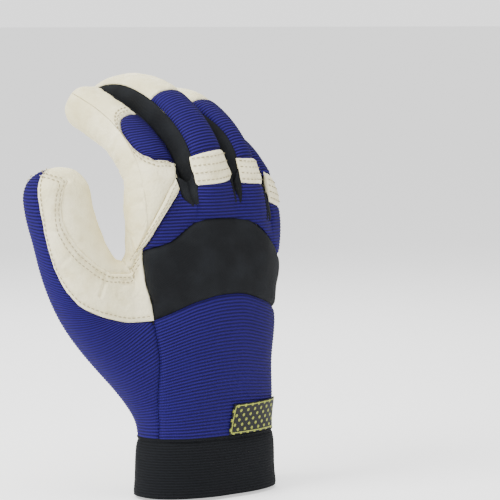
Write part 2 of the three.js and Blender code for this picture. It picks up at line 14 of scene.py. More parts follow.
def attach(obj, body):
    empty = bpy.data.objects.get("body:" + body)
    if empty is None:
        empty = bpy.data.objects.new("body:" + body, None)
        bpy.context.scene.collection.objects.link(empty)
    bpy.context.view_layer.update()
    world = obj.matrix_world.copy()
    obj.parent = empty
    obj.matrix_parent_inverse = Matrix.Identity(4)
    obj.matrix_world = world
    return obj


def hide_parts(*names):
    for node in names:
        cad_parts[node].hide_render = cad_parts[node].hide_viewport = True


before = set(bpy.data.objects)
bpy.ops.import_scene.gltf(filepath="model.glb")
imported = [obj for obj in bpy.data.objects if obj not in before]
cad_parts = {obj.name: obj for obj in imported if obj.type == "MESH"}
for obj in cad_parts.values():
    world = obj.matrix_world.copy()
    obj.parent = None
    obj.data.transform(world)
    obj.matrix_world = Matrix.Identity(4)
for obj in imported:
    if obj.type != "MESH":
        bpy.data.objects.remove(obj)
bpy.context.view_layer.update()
MM = 0.001

# %% [markdown]
# ## The form under the panels
# A glove takes its shape from the hand in it. One could sculpt it, but a formula keeps every
# panel on the same smooth skin. The hand and each digit are tubes with rounded-box sections, given
# in small tables, and one function says how far a point is from the skin that joins them.

# %% Tables of the form
HAND_LENGTH, HAND_WIDTH, HAND_DEPTH = 145.0, 86.0, 40.0
CUFF = 29.0
# How boxy a section is (1 is an ellipse), and the exponent of the same curve in a distance.
ROUND = 0.86
POWER = 2 / ROUND
# Rows of the hand tube: how far up it is, as a share of the length; its centre's shift and its
# width, as shares of the width; its back, its palm and the sag of its sides, as shares of the depth.
HAND = np.array([
    (0.0, 0.0, 0.907, 0.55, 0.53, 0.0),
    (0.18, 0.0, 0.885, 0.538, 0.5, 0.0),
    (0.225, 0.0, 0.865, 0.51, 0.48, 0.0),
    (0.32, 0.0, 0.88, 0.5, 0.49, 0.02),
    (0.41, 0.0, 0.89, 0.5, 0.5, 0.04),
    (0.55, 0.01, 0.935, 0.5, 0.5, 0.06),
    (0.63, 0.013, 0.95, 0.49, 0.49, 0.075),
    (0.78, 0.022, 1.0, 0.47, 0.46, 0.1),
    (0.91, 0.028, 1.03, 0.43, 0.41, 0.125),
    (0.98, 0.026, 1.0, 0.37, 0.37, 0.14),
    (1.035, 0.02, 0.93, 0.28, 0.26, 0.14),
])
# Each digit starts at foot, a place in shares of the hand's width, depth and length. It leans
# and tilts from upright, and twist turns the side to which it curls, all in degrees. Its rows
# hold: share of the length, bend in degrees, width and depth as shares of the digit's own.
DIGITS = {
    "index": dict(length=84, wide=27, deep=22, foot=(-0.324, 0.012, 0.963), lean=-4.3, tilt=0, twist=5.5,
                  rows=[(-0.4, 2, 0.86, 0.84), (0, 14.7, 1.08, 1), (0.3, 41, 1.05, 1), (0.6, 62.7, 0.97, 1),
                        (0.85, 70.4, 0.92, 1), (1, 70.7, 0.9, 0.98)]),
    "middle": dict(length=94.6, wide=24.8, deep=25, foot=(-0.049, -0.085, 1.019), lean=5.1, tilt=0, twist=4,
                   rows=[(-0.4, -6, 0.86, 0.84), (0, 2.5, 1, 1), (0.28, 39.3, 1, 1), (0.55, 66.8, 1, 1),
                         (0.8, 97.5, 0.98, 0.98), (1, 120, 0.95, 0.95)]),
    "ring": dict(length=84.8, wide=23.4, deep=25, foot=(0.201, -0.062, 1.012), lean=2.9, tilt=0, twist=6.5,
                 rows=[(-0.4, -2, 0.86, 0.84), (0, 13.2, 1, 1), (0.28, 40.6, 1, 1), (0.55, 70.5, 1, 1),
                       (0.8, 103.4, 0.98, 0.98), (1, 127.7, 0.95, 0.95)]),
    "little": dict(length=66.8, wide=20.4, deep=21.8, foot=(0.396, 0.095, 0.954), lean=1.8, tilt=0, twist=2,
                   rows=[(-0.45, -4, 0.86, 0.84), (0, 9.2, 1, 1), (0.28, 45.1, 1, 1), (0.55, 73.6, 1, 1),
                         (0.8, 97.5, 0.98, 0.98), (1, 119.7, 0.95, 0.95)]),
    "thumb": dict(length=97.4, wide=26, deep=31.2, foot=(-0.455, 0.258, 0.502), lean=26, tilt=8.6,
                  twist=-91.7,
                  rows=[(-0.3, -25, 1.2, 1.1), (0, -22.3, 1.25, 1.15), (0.3, -6.5, 1.13, 1.09),
                        (0.6, 13.9, 1, 1), (0.85, 21.2, 1, 1), (1, 38.6, 1, 1)]),
}
# Short names, for the many places that the panels are cut to.
H, I, M, R, L, T = "hand", "index", "middle", "ring", "little", "thumb"
print("digits", list(DIGITS))


# %% Smooth reading of tables
def hermite(xs, ys, x):
    """Cubic curve through the rows ys at xs, with the slopes of their neighbours' chords."""
    xs, ys, x = np.asarray(xs, float), np.asarray(ys, float), np.asarray(x, float)
    slope = np.gradient(ys, xs, axis=0)
    i = np.clip(np.searchsorted(xs, x, side="right") - 1, 0, len(xs) - 2)
    h = xs[i + 1] - xs[i]
    t = np.clip((x - xs[i]) / h, 0, 1)
    wide = (slice(None),) * t.ndim + (None,) * (ys.ndim - 1)
    t, h = t[wide], h[wide]
    a, b = 2 * t**3 - 3 * t**2 + 1, t**3 - 2 * t**2 + t
    c, d = 3 * t**2 - 2 * t**3, t**3 - t**2
    return a * ys[i] + b * h * slope[i] + c * ys[i + 1] + d * h * slope[i + 1]


def swell(angle):
    """Cosine and sine raised to a power below one: a circle swollen towards a rounded box."""
    c, s = np.cos(np.radians(angle)), np.sin(np.radians(angle))
    return np.sign(c) * np.abs(c) ** ROUND, np.sign(s) * np.abs(s) ** ROUND


def unit(v):
    """Vectors divided by their own length."""
    return v / (np.linalg.norm(v, axis=-1, keepdims=True) + 1e-9)


print("a swollen circle passes its corner at", swell(45.0))

# %% The digits' spines
def lay_spine(d, stations=70):
    """Sums small steps along the bending direction, from the root to where the round tip starts."""
    rows = np.array(d["rows"], float)
    reach = 0.5 * d["deep"]
    end = 1 - reach / d["length"]
    share = np.linspace(rows[0, 0], end, stations)
    table = hermite(rows[:, 0], rows[:, 1:], share)
    lean, tilt, twist = (math.radians(d[k]) for k in ("lean", "tilt", "twist"))
    axis = np.array([-math.sin(lean) * math.cos(tilt), math.sin(tilt), math.cos(lean) * math.cos(tilt)])
    curl = np.array([-math.sin(twist), math.cos(twist), 0.0])
    curl = unit(curl - axis * (curl @ axis))
    bend = np.radians(table[:, 0])[:, None]
    along = np.cos(bend) * axis + np.sin(bend) * curl
    back = np.sin(bend) * axis - np.cos(bend) * curl
    step = np.diff(share)[:, None] * d["length"] * (along[1:] + along[:-1]) / 2
    line = np.vstack([np.zeros(3), np.cumsum(step, 0)])
    root = np.array([np.interp(0, share, line[:, k]) for k in range(3)])
    foot = np.array(d["foot"]) * (HAND_WIDTH, HAND_DEPTH, HAND_LENGTH)
    d.update(share=share, line=line - root + foot, along=along, back=back, across=np.cross(curl, axis),
             half=table[:, 1] * d["wide"] / 2, high=table[:, 2] * d["deep"] / 2, reach=reach, end=end)


for name, digit in DIGITS.items():
    lay_spine(digit)
    print(name, "spine ends at", digit["line"][-1].round(1))


def between(d, key, share):
    """A digit's column at a share of its length."""
    rows = d[key]
    if rows.ndim == 1:
        return np.interp(share, d["share"], rows)
    return np.stack([np.interp(share, d["share"], rows[:, k]) for k in range(3)], -1)


def digit_point(name, share, around, grow=0.0):
    """Spine point + across * half width * swollen cosine + back * half depth * swollen sine."""
    d = DIGITS[name]
    share, around = np.broadcast_arrays(np.asarray(share, float), np.asarray(around, float))
    held = np.clip(share, d["share"][0], d["end"])
    turn = np.clip((share - d["end"]) / (1 - d["end"]), 0, 1) * 90
    shrink, rise = swell(turn)
    c, s = swell(around)
    return (between(d, "line", held)
            + between(d, "along", held) * ((d["reach"] + grow) * rise)[..., None]
            + d["across"] * ((between(d, "half", held) + grow) * c * shrink)[..., None]
            + between(d, "back", held) * ((between(d, "high", held) + grow) * s * shrink)[..., None])


def hand_point(share, around, grow=0.0):
    """Rounded-box ring at a share of the hand's length; its sides sag towards the palm."""
    share, around = np.broadcast_arrays(np.asarray(share, float), np.asarray(around, float))
    row = hermite(HAND[:, 0], HAND[:, 1:], share)
    c, s = swell(around)
    deep = np.where(s > 0, row[..., 2], row[..., 3]) * HAND_DEPTH + grow
    x = row[..., 0] * HAND_WIDTH + (row[..., 1] * HAND_WIDTH / 2 + grow) * c
    y = row[..., 4] * HAND_DEPTH * c**2 - deep * s
    return np.stack([x, y, share * HAND_LENGTH], -1)


# %% How far a point is from the skin
# Millimetres: the height of the hand's upper dome, the fillets between the tubes, and the longest
# single move of a point that is laid on the skin.
DOME = 9.0
WEB_FILLET, THUMB_FILLET = 5.0, 14.0
LONGEST_MOVE = 4.0


def far_from_digit(p, d):
    """Rounded-box distance of a point from a digit's nearest section."""
    i = ((p[:, None] - d["line"][None]) ** 2).sum(-1).argmin(1)
    t = ((p - d["line"][i]) * d["along"][i]).sum(1)
    share = np.clip(d["share"][i] + t / d["length"], d["share"][0], d["end"])
    r = p - between(d, "line", share)
    half, high = between(d, "half", share), between(d, "high", share)
    a, b = np.abs(r @ d["across"]) / half, np.abs((r * between(d, "back", share)).sum(1)) / high
    past = (share >= d["end"]) | (share <= d["share"][0])
    e = np.where(past, np.abs((r * between(d, "along", share)).sum(1)) / d["reach"], 0)
    return ((a**POWER + b**POWER + e**POWER) ** (1 / POWER) - 1) * np.sqrt(half * high)


def far_from_hand(p):
    """Rounded-box distance of a point from the hand tube, whose upper end is a dome. The factor
    of three quarters makes it about right over the flat back and the palm. The sides' sag stops
    growing a little outside the hand."""
    row = hermite(HAND[:, 0], HAND[:, 1:], np.clip(p[:, 2] / HAND_LENGTH, 0, HAND[-1, 0]))
    half = row[:, 1] * HAND_WIDTH / 2
    x = (p[:, 0] - row[:, 0] * HAND_WIDTH) / half
    y = p[:, 1] - row[:, 4] * HAND_DEPTH * np.clip(np.abs(x), 0, 1.3) ** 2
    back, palm = row[:, 2] * HAND_DEPTH, row[:, 3] * HAND_DEPTH
    b = np.where(y < 0, -y / back, y / palm)
    over = np.clip((p[:, 2] - HAND[-1, 0] * HAND_LENGTH) / DOME, 0, None)
    rho = (np.abs(x) ** POWER + b**POWER + over**POWER) ** (1 / POWER)
    return (rho - 1) * np.sqrt(half * (back + palm) / 2) * 0.75


def joined(a, b, width):
    """The smaller of two distances, with a fillet where they are within width of each other."""
    h = np.clip(width - np.abs(a - b), 0, None) / width
    return np.minimum(a, b) - h * h * width / 4


def skin(p):
    """Distance from the glove's skin: below zero inside it. The nearest of the joined pairs."""
    hand = far_from_hand(p)
    parts = []
    for name, d in DIGITS.items():
        fillet = THUMB_FILLET if name == T else WEB_FILLET
        parts.append(joined(hand, far_from_digit(p, d), fillet))
    return np.min(parts, axis=0)


def slope_of(p, step=0.05):
    """Direction in which the distance grows fastest, from differences of it."""
    eye = np.eye(3) * step
    return np.stack([skin(p + e) - skin(p - e) for e in eye], -1) / (2 * step)


def drape(points, rounds=6):
    """Moves points onto the skin along its slope. Returns them and the outward directions."""
    p = points.reshape(-1, 3).copy()
    for _ in range(rounds):
        g = slope_of(p)
        move = -(skin(p) / ((g**2).sum(1) + 1e-6))[:, None] * g
        size = np.linalg.norm(move, axis=1, keepdims=True)
        p += move * np.minimum(1, LONGEST_MOVE / (size + 1e-9))
    return p.reshape(points.shape), unit(slope_of(p)).reshape(points.shape)


print("skin at the wrist's centre", skin(np.array([[0.0, 0.0, 60.0]])))


# %% [markdown]
# ## Panels
# A cutter draws a panel as a flat shape between its seams. Here each panel is stretched between
# rails, curves that run along it from one end to the other. The rails are given as places on the
# hand and the digits, the points between them are interpolated, and the whole grid is draped on
# the skin. Each grid becomes a closed shell with rolled edges, tucked into the seam. Letters name
# the sewn sides: l and r are the first and the last rail, b and t are where rails start and end.

# %% Rails and patches
# Samples between two places and along a whole rail, and a distance that counts as no seam at all.
LEG, FINE, FAR = 12, 160, 99.0


def place(form, share, around):
    """A place on the hand or on a digit, in millimetres."""
    return hand_point(share, around) if form == "hand" else digit_point(form, share, around)


def rail(places, count, soften=3):
    """Samples between places, on the form where both are on one, spaced evenly and rounded off.
    Rounding off replaces each point by the mean of five, weighted 1, 2, 3, 2, 1."""
    dots = []
    for (f, a, u), (g, b, v) in zip(places, places[1:]):
        t = np.linspace(0, 1, LEG + 1)[:-1]
        if f == g:
            dots.append(place(f, a + (b - a) * t, u + (v - u) * t))
        else:
            dots.append(place(f, a, u) * (1 - t[:, None]) + place(g, b, v) * t[:, None])
    dots = np.vstack(dots + [place(*places[-1])[None]])
    fine = even(dots, FINE)
    for _ in range(soften):
        fine[2:-2] = (fine[:-4] + 2 * fine[1:-3] + 3 * fine[2:-2] + 2 * fine[3:-1] + fine[4:]) / 9
    return even(fine, count)


def lengths_of(dots):
    """Distance along a line of points, from its first."""
    return np.concatenate([[0], np.cumsum(np.linalg.norm(np.diff(dots, axis=0), axis=1))])


def reach_along(p, axis):
    """Distance along each line of a grid, from its first point."""
    step = np.linalg.norm(np.diff(p, axis=axis), axis=2)
    return np.insert(np.cumsum(step, axis), 0, 0, axis=axis)


def even(dots, count):
    """The same line with its points spaced evenly."""
    run = lengths_of(dots)
    at = np.linspace(0, run[-1], count)
    return np.stack([np.interp(at, run, dots[:, k]) for k in range(3)], -1)


def spread(grid, across, along, straight=False):
    """A grid with more rows and columns, by cubic curves through its own."""
    n, m = grid.shape[:2]
    s = np.linspace(0, n - 1, across)
    if straight:
        i = np.clip(s.astype(int), 0, n - 2)
        t = (s - i)[:, None, None]
        grid = grid[i] * (1 - t) + grid[i + 1] * t
    else:
        grid = hermite(np.arange(n), grid, s)
    return np.moveaxis(hermite(np.arange(m), np.moveaxis(grid, 1, 0), np.linspace(0, m - 1, along)), 1, 0)


def patch(rails, pitch=(1.5, 1.5), straight=False, coarse=3.0):
    """Grid through rails, draped on the skin while it is coarse and then refined to its pitch.
    Holds points p, outward directions n, the distance across (side) and along (run), and row, the
    mean distance along, which the ribs follow."""
    long = max(lengths_of(rail(r, 60))[-1] for r in rails)
    steps = max(6, int(long / coarse) + 1)
    grid = np.stack([rail(r, steps) for r in rails])
    wide = max(lengths_of(grid[:, k])[-1] for k in range(0, steps, max(1, steps // 6)))
    grid = spread(grid, max(len(rails), int(wide / coarse) + 2), steps, straight or len(rails) < 4)
    grid, out = drape(grid)
    across, along = max(4, int(wide / pitch[0]) + 1), max(4, int(long / pitch[1]) + 1)
    p, n = spread(grid, across, along), unit(spread(out, across, along))
    side, run = reach_along(p, 0), reach_along(p, 1)
    rows = np.linspace(0, run[:, -1].mean(), along)[None] + np.zeros((across, 1))
    return dict(p=p, n=n, side=side, run=run, row=rows)


def rim_of(q, seams):
    """Distance in millimetres from the nearest of a panel's sewn sides: l, r, b or t."""
    side, run = q["side"], q["run"]
    gaps = dict(l=side, r=side[-1:] - side, b=run, t=run[:, -1:] - run)
    away = [gaps[k] for k in seams]
    return np.min(away, axis=0) if away else np.full(side.shape, FAR)


print("thumb's back is", lengths_of(rail([(T, 0, 90), (T, 1, 90)], 60))[-1].round(1), "mm long")

# %% Noise for folds
def hashed(i, j, k, seed):
    """A repeatable number from 0 to 1 for each lattice point."""
    v = np.sin(i * 127.1 + j * 311.7 + k * 74.7 + seed * 53.3) * 43758.5453
    return v - np.floor(v)


def noise(p, size, seed=0):
    """Smooth noise from -1 to 1: lattice numbers blended with smoothstep weights."""
    q = p / size
    cell = np.floor(q)
    t = q - cell
    t = t * t * (3 - 2 * t)
    total = 0
    for corner in range(8):
        o = np.array([corner & 1, corner >> 1 & 1, corner >> 2 & 1])
        weight = np.prod(np.where(o, t, 1 - t), axis=-1)
        c = cell + o
        total = total + weight * hashed(c[..., 0], c[..., 1], c[..., 2], seed)
    return 2 * total - 1


print("noise 14 mm wide at the origin", noise(np.zeros((1, 3)), 14.0).round(3))

# %% From patches to closed shells
WELD = 2e-6


def squares(at):
    """Four-sided faces of a grid of vertex numbers."""
    return np.stack([at[:-1, :-1], at[1:, :-1], at[1:, 1:], at[:-1, 1:]], -1).reshape(-1, 4)


def shell(q, height, thick, sink, seams):
    """Outer grid = point + outward * (height - depth * e^-(rim / width)^1.4), where sink holds that
    depth and width; inner grid = point - outward * thick. Their rims are joined by a wall."""
    rim = rim_of(q, seams)
    roll = np.exp(-((rim / sink[1]) ** 1.4))
    outer = q["p"] + q["n"] * (height - sink[0] * roll)[..., None]
    inner = q["p"] - q["n"] * thick
    n, m = rim.shape
    at = np.arange(n * m).reshape(n, m)
    loop = np.concatenate([at[:, 0], at[-1, 1:], at[-2::-1, -1], at[0, -2:0:-1]])
    ahead = np.roll(loop, -1)
    wall = np.stack([ahead, loop, loop + n * m, ahead + n * m], -1)
    faces = np.vstack([squares(at), squares(at)[:, ::-1] + n * m, wall])
    tilt = np.cross(np.gradient(q["p"], axis=0), np.gradient(q["p"], axis=1))
    if (tilt * q["n"]).sum() < 0:
        faces = faces[:, ::-1]
    uv = np.stack([q["side"], q["row"]], -1).reshape(-1, 2)
    return dict(v=np.vstack([outer.reshape(-1, 3), inner.reshape(-1, 3)]), f=faces,
                uv=np.vstack([uv, uv]), rim=np.tile(np.clip(rim, 0, 20).ravel(), 2))


def add_piece(name, shells, material, nodes):
    """One object from closed shells, at the origin, with its rims and a UV map where 1 is 100 mm.
    Points closer than WELD metres are merged, which closes the ends that run to a point."""
    v = np.vstack([s["v"] for s in shells]) * MM
    start = np.cumsum([0] + [len(s["v"]) for s in shells])
    f = np.vstack([s["f"] + o for s, o in zip(shells, start)])
    mesh = bpy.data.meshes.new(name)
    mesh.vertices.add(len(v))
    mesh.vertices.foreach_set("co", v.ravel())
    mesh.loops.add(f.size)
    mesh.loops.foreach_set("vertex_index", f.ravel().astype(np.int32))
    mesh.polygons.add(len(f))
    mesh.polygons.foreach_set("loop_start", np.arange(0, f.size, 4, dtype=np.int32))
    uv = np.vstack([s["uv"] for s in shells])[f.ravel()] * 0.01
    mesh.uv_layers.new(name="UVMap").data.foreach_set("uv", uv.ravel())
    rim = mesh.attributes.new("rim", "FLOAT", "POINT")
    rim.data.foreach_set("value", np.concatenate([s["rim"] for s in shells]))
    mesh.update()
    mesh.polygons.foreach_set("use_smooth", np.ones(len(f), bool))
    piece = bpy.data.objects.new(name, mesh)
    bpy.context.scene.collection.objects.link(piece)
    bm = bmesh.new()
    bm.from_mesh(mesh)
    bmesh.ops.remove_doubles(bm, verts=bm.verts, dist=WELD)
    bm.to_mesh(mesh)
    bm.free()
    mesh.materials.append(material)
    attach(piece, "root")
    if nodes:
        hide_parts(*nodes)
    print(name, len(mesh.polygons), "faces")
    return piece


# %% [markdown]
# ## Finishes
# Grain, ribs and weave are drawn with nodes. A socket is wrapped in a small class, so that a
# pattern reads like the formula it is.

# %% Shader maths
class Sock:
    """A node's output that can be added, multiplied and compared like a number."""

    def __init__(self, tree, out):
        self.tree, self.out = tree, out

    def maths(self, kind, *others, clamp=False):
        node = self.tree.nodes.new("ShaderNodeMath")
        node.operation, node.use_clamp = kind, clamp
        for socket, value in zip(node.inputs, (self, *others)):
            plug(self.tree, socket, value)
        return Sock(self.tree, node.outputs[0])

    def __add__(self, o):
        return self.maths("ADD", o)

    def __sub__(self, o):
        return self.maths("SUBTRACT", o)

    def __mul__(self, o):
        return self.maths("MULTIPLY", o)

    def __rsub__(self, o):
        return (self * -1) + o

    __radd__, __rmul__ = __add__, __mul__

    def sin(self):
        return self.maths("SINE")

    def size(self):
        return self.maths("ABSOLUTE")

    def clamp(self):
        return self.maths("ADD", 0.0, clamp=True)

    def ramp(self, low, high):
        """0 below low, 1 above high, straight between."""
        return ((self - low) * (1 / (high - low))).clamp()


def plug(tree, socket, value):
    """Links a wrapped socket, or sets a plain value."""
    if isinstance(value, Sock):
        tree.links.new(value.out, socket)
    else:
        socket.default_value = value


class Finish:
    """A material being made, with its shader and the patterns that drive it."""

    def __init__(self, name, roughness, **fixed):
        self.material = bpy.data.materials.new(name)
        self.material.use_nodes = True
        self.tree = self.material.node_tree
        self.shader = self.tree.nodes["Principled BSDF"]
        self.shader.inputs["Roughness"].default_value = roughness
        for key, value in fixed.items():
            self.shader.inputs[key.replace("_", " ")].default_value = value

    def node(self, kind, settings=(), out=0, **links):
        """Any other node: its settings first, then the values or links of its sockets."""
        made = self.tree.nodes.new(kind)
        for key, value in dict(settings).items():
            setattr(made, key, value)
        for key, value in links.items():
            plug(self.tree, made.inputs[key.replace("_", " ")], value)
        return Sock(self.tree, made.outputs[out])

    def spot(self):
        return self.node("ShaderNodeTexCoord", out="Object")

    def fold(self, layer="UVMap"):
        """Distances across and along the panel, in millimetres."""
        uv = self.node("ShaderNodeUVMap", {"uv_map": layer})
        parts = self.node("ShaderNodeSeparateXYZ", Vector=uv)
        return parts * 100, Sock(self.tree, parts.out.node.outputs[1]) * 100

    def rim(self):
        return self.node("ShaderNodeAttribute", {"attribute_name": "rim"}, out="Fac")

    def noise(self, scale, detail=3.0):
        return self.node("ShaderNodeTexNoise", Vector=self.spot(), Scale=scale, Detail=detail)

    def cells(self, scale):
        return self.node("ShaderNodeTexVoronoi", Vector=self.spot(), Scale=scale)

    def mix(self, factor, a, b):
        made = self.tree.nodes.new("ShaderNodeMix")
        made.data_type = "RGBA"
        for socket, value in zip((made.inputs[0], made.inputs[6], made.inputs[7]), (factor, a, b)):
            plug(self.tree, socket, value)
        return Sock(self.tree, made.outputs[2])

    def wear(self, color, height, strength, distance=0.0006, roughness=None):
        """Gives the shader its colour and its bump."""
        plug(self.tree, self.shader.inputs["Base Color"], color)
        bump = self.node("ShaderNodeBump", Height=height, Strength=strength, Distance=distance)
        plug(self.tree, self.shader.inputs["Normal"], bump)
        if roughness is not None:
            plug(self.tree, self.shader.inputs["Roughness"], roughness)
        return self.material


def wave(distance, pitch):
    """A sine wave from 0 to 1 that repeats once in each pitch."""
    return (distance * (2 * math.pi / pitch)).sin() * 0.5 + 0.5


def rgb(hexa):
    """A screen colour as the light values that shaders use."""
    parts = [int(hexa[i:i + 2], 16) / 255 for i in (0, 2, 4)]
    return tuple(p / 12.92 if p < 0.04 else ((p + 0.055) / 1.055) ** 2.4 for p in parts) + (1.0,)


print("cream as light values", rgb("f1e9c6"))


# %% [markdown]
# ### Leather
# The goatskin is creamy and clouded, with darker blotches and small grain cells. Near a cut edge
# the raw fibres show, so it turns paler. A photograph could be laid over it, but that would show its
# seams where patches meet. Noise on Object coordinates runs on from patch to patch.

# %% Leather
f = Finish("cream leather", 0.6, Specular_IOR_Level=0.35)
cloudy, blotch = f.noise(38, 5), f.noise(160, 4)
grain = f.cells(900)
tone = f.mix(cloudy.ramp(0.35, 0.68), rgb("ddd4a8"), rgb("f1e9c6"))
tone = f.mix(blotch.ramp(0.5, 0.75) * 0.5, tone, rgb("c9bd8c"))
tone = f.mix((1 - f.rim().ramp(0.3, 1.6)) * 0.4, tone, rgb("f6efd0"))
pores = grain * 0.5 + f.noise(600, 4) + f.noise(140, 5) * 1.5
leather = f.wear(tone, pores, 0.5, 0.0006, 0.5 + blotch * 0.25)
print("leather made")

# %% [markdown]
# ### Blue rib knit
# The ribs are real ridges in the mesh, because they show against the light at the outline. Loops
# are too small for that, so the finish draws them with bump. It reads the panel's own UV map,
# because there the loops follow the ribs. One flank of each rib is painted darker than the other,
# as painted shade from light above.

# %% Knit
RIB, LOOP = 1.55, 0.8
f = Finish("blue rib knit", 0.85, Specular_IOR_Level=0.15)
u, v = f.fold()
# Painted shade: this rib wave makes one flank of each rib darker, as if light came from above; it also
# lifts the ribs' bump.
rib_bump_and_painted_shade = wave(v, RIB)
# A loop's wave along the rib is shifted by the rib's own wave, so that the loops lean.
loops = (u * (2 * math.pi / LOOP) + (v * (2 * math.pi / RIB)).sin() * 0.8).sin() * 0.5 + 0.5
# A shaded and a lit blue across each rib: painted shade and painted highlight.
tone = f.mix(rib_bump_and_painted_shade, rgb("0b052b"), rgb("241668"))
tone = f.mix(loops * 0.42, tone, rgb("0c0734"))
tone = f.mix(f.noise(60, 3).ramp(0.45, 0.75) * 0.25, tone, rgb("180f54"))
knit = f.wear(tone, loops * 0.5 + rib_bump_and_painted_shade * 0.5, 0.4, 0.0003)
print("knit made, ribs every", RIB, "mm")

# %% [markdown]
# ### Black foam knit, elastic, vinyl and label
# Four blacks that differ in weave and shine: a fine knit over foam, horizontal elastic cords,
# smooth moulded vinyl, and a label whose pattern is a plain woven lattice. One black for all of them
# would be simpler, but then only their outlines would tell them apart.

# %% Blacks
WEFT, CORD, CROSS, LABEL_THREAD = 0.9, 1.3, 0.7, 0.5
f = Finish("black foam knit", 0.88, Specular_IOR_Level=0.15)
u, v = f.fold()
weft = (v * (2 * math.pi / WEFT)).sin() * (u * (2 * math.pi / WEFT)).sin() * 0.5 + 0.5
tone = f.mix(weft * 0.6, rgb("0b0c0e"), rgb("191b1e"))
tone = f.mix(f.noise(90, 3).ramp(0.4, 0.8) * 0.4, tone, rgb("222529"))
foam = f.wear(tone, weft, 0.35, 0.00025)

f = Finish("black elastic", 0.9, Specular_IOR_Level=0.15)
u, v = f.fold()
cord, cross = wave(v, CORD), wave(u, CROSS)
tone = f.mix(cord * 0.7 + cross * 0.2, rgb("07080a"), rgb("14161a"))
elastic = f.wear(tone, cord * 0.8 + cross * 0.3, 0.5, 0.0003)

f = Finish("gloss vinyl", 0.28, Specular_IOR_Level=0.22)
tone = f.mix(f.noise(25, 3), rgb("050507"), rgb("0b0c0e"))
vinyl = f.wear(tone, f.noise(500, 2), 0.05, 0.0002, 0.24 + f.noise(40, 4) * 0.16)

f = Finish("label weave", 0.6, Specular_IOR_Level=0.3)
u, v = f.fold()
lattice = ((u + v) * 0.7).sin().size() * ((u - v) * 0.7).sin().size()
threads = wave(v, LABEL_THREAD)
border = (1 - f.rim().ramp(0.9, 1.1)) * f.rim().ramp(0.5, 0.7)
tone = f.mix((lattice.ramp(0.72, 0.8) * 0.75 + border).clamp() * 0.85, rgb("08090b"), rgb("a8b040"))
label = f.wear(tone, threads, 0.3, 0.0002)

f = Finish("cream thread", 0.55)
# The thread is drawn darker than cream: partly the thread's own beige-grey, partly painted shade of its
# needle holes.
tone = f.mix(f.noise(900, 2), rgb("a89c78"), rgb("8a7f5e"))
thread = f.wear(tone, f.noise(2500, 2), 0.3, 0.0002)

f = Finish("black thread", 0.5)
tone = f.mix(f.noise(900, 2), rgb("15161a"), rgb("2b2d33"))
black_thread = f.wear(tone, f.noise(2500, 2), 0.3, 0.0002)


# %% [markdown]
# ## How each cloth behaves
# Knit swells between its seams and carries ribs. Leather is stiffer: it shows long soft folds,
# small puckers along each seam, and creases where the hand bends. A cloth simulation could find
# such folds, but it would also move the seams. Here the folds are heights over the skin, so every
# panel keeps its cut.

# %% Heights
def knit_height(q, seams, puff=0.7, ribs=0.13):
    """Height = puff * (1 - e^-(rim / 5)) + slow waves 17 mm long, which fade out at the seams,
    + ribs * cosine of the row."""
    rim = rim_of(q, seams)
    rise = puff * (1 - np.exp(-rim / 5)) + 0.35 * noise(q["p"], 17, 1) * np.clip(rim / 8, 0, 1)
    return rise + ribs * np.cos(2 * np.pi * q["row"] / RIB)


def crease(p, dots, depth, width):
    """A groove along a line of points, as a bell curve of the distance from it, with soft banks."""
    dots = np.asarray(dots, float)
    a, b = dots[:-1], dots[1:]
    r = p[..., None, :] - a
    t = np.clip((r * (b - a)).sum(-1) / ((b - a) ** 2).sum(-1), 0, 1)
    far = np.linalg.norm(r - t[..., None] * (b - a), axis=-1).min(-1)
    return -depth * (1.35 * np.exp(-((far / width) ** 2)) - 0.55 * np.exp(-((far / (2.2 * width)) ** 2)))


def leather_height(q, seams, folds=(), puff=0.45, seed=3):
    """Height = puff * (1 - e^-(rim / 4)) + noise of 14 and 6 mm away from the seams + puckers of
    2.6 mm near them + wrinkles of 1.8 mm + creases. A fold holds its places, depth and width."""
    p, rim = q["p"], rim_of(q, seams)
    rise = puff * (1 - np.exp(-rim / 4))
    away = np.clip(rim / 6, 0, 1)
    rise = rise + away * (0.75 * noise(p, 14, seed) + 0.32 * noise(p, 6, seed + 1))
    pucker = np.exp(-rim / 3.5) * noise(p, 2.6, seed + 2)
    rise = rise + 0.45 * pucker + 0.09 * noise(p, 1.8, seed + 3)
    for dots, depth, width in folds:
        rise = rise + crease(p, [place(*d) for d in dots], depth, width)
    return rise


print("middle of a crease 1 mm deep:", crease(np.zeros((1, 3)), [(-5, 0, 0), (5, 0, 0)], 1, 1).round(2))

# %% [markdown]
# ## Blue panels
# The knit covers the back of the hand, the thumb's outer side and the fingers' backs. Its ribs run
# across the hand, so the rails run up it and the ribs follow the rows between them. A texture of
# stripes would be quicker, but would stay flat at the outline.

# %% Lower back and thumb
# The knuckle band's lower and upper edge: share of the hand's length, and angle round it.
BAND_LOW = [(0.592, 158), (0.628, 131), (0.647, 119), (0.657, 111), (0.67, 98), (0.672, 86), (0.665, 77),
            (0.648, 65), (0.622, 43), (0.607, 30), (0.59, -12)]
BAND_HIGH = [(0.825, 160), (0.865, 131), (0.902, 119), (0.922, 111), (0.928, 98), (0.925, 86), (0.914, 77),
             (0.877, 65), (0.826, 43), (0.79, 30), (0.76, -12)]
BACK_SEAM = [(H, 0.19, 161), (H, 0.33, 157), (H, 0.47, 154), (H, 0.592, 158)]
low_rails = [BACK_SEAM] + [[(H, 0.19, a), (H, s, a)] for s, a in BAND_LOW[1:]]
q = patch(low_rails, (1.2, 0.26))
lower = shell(q, knit_height(q, "lrbt"), 1.4, (0.9, 1.3), "lrbt")
add_piece("lower_back_knit", [lower], knit, ["hand_back_knit_lower"])

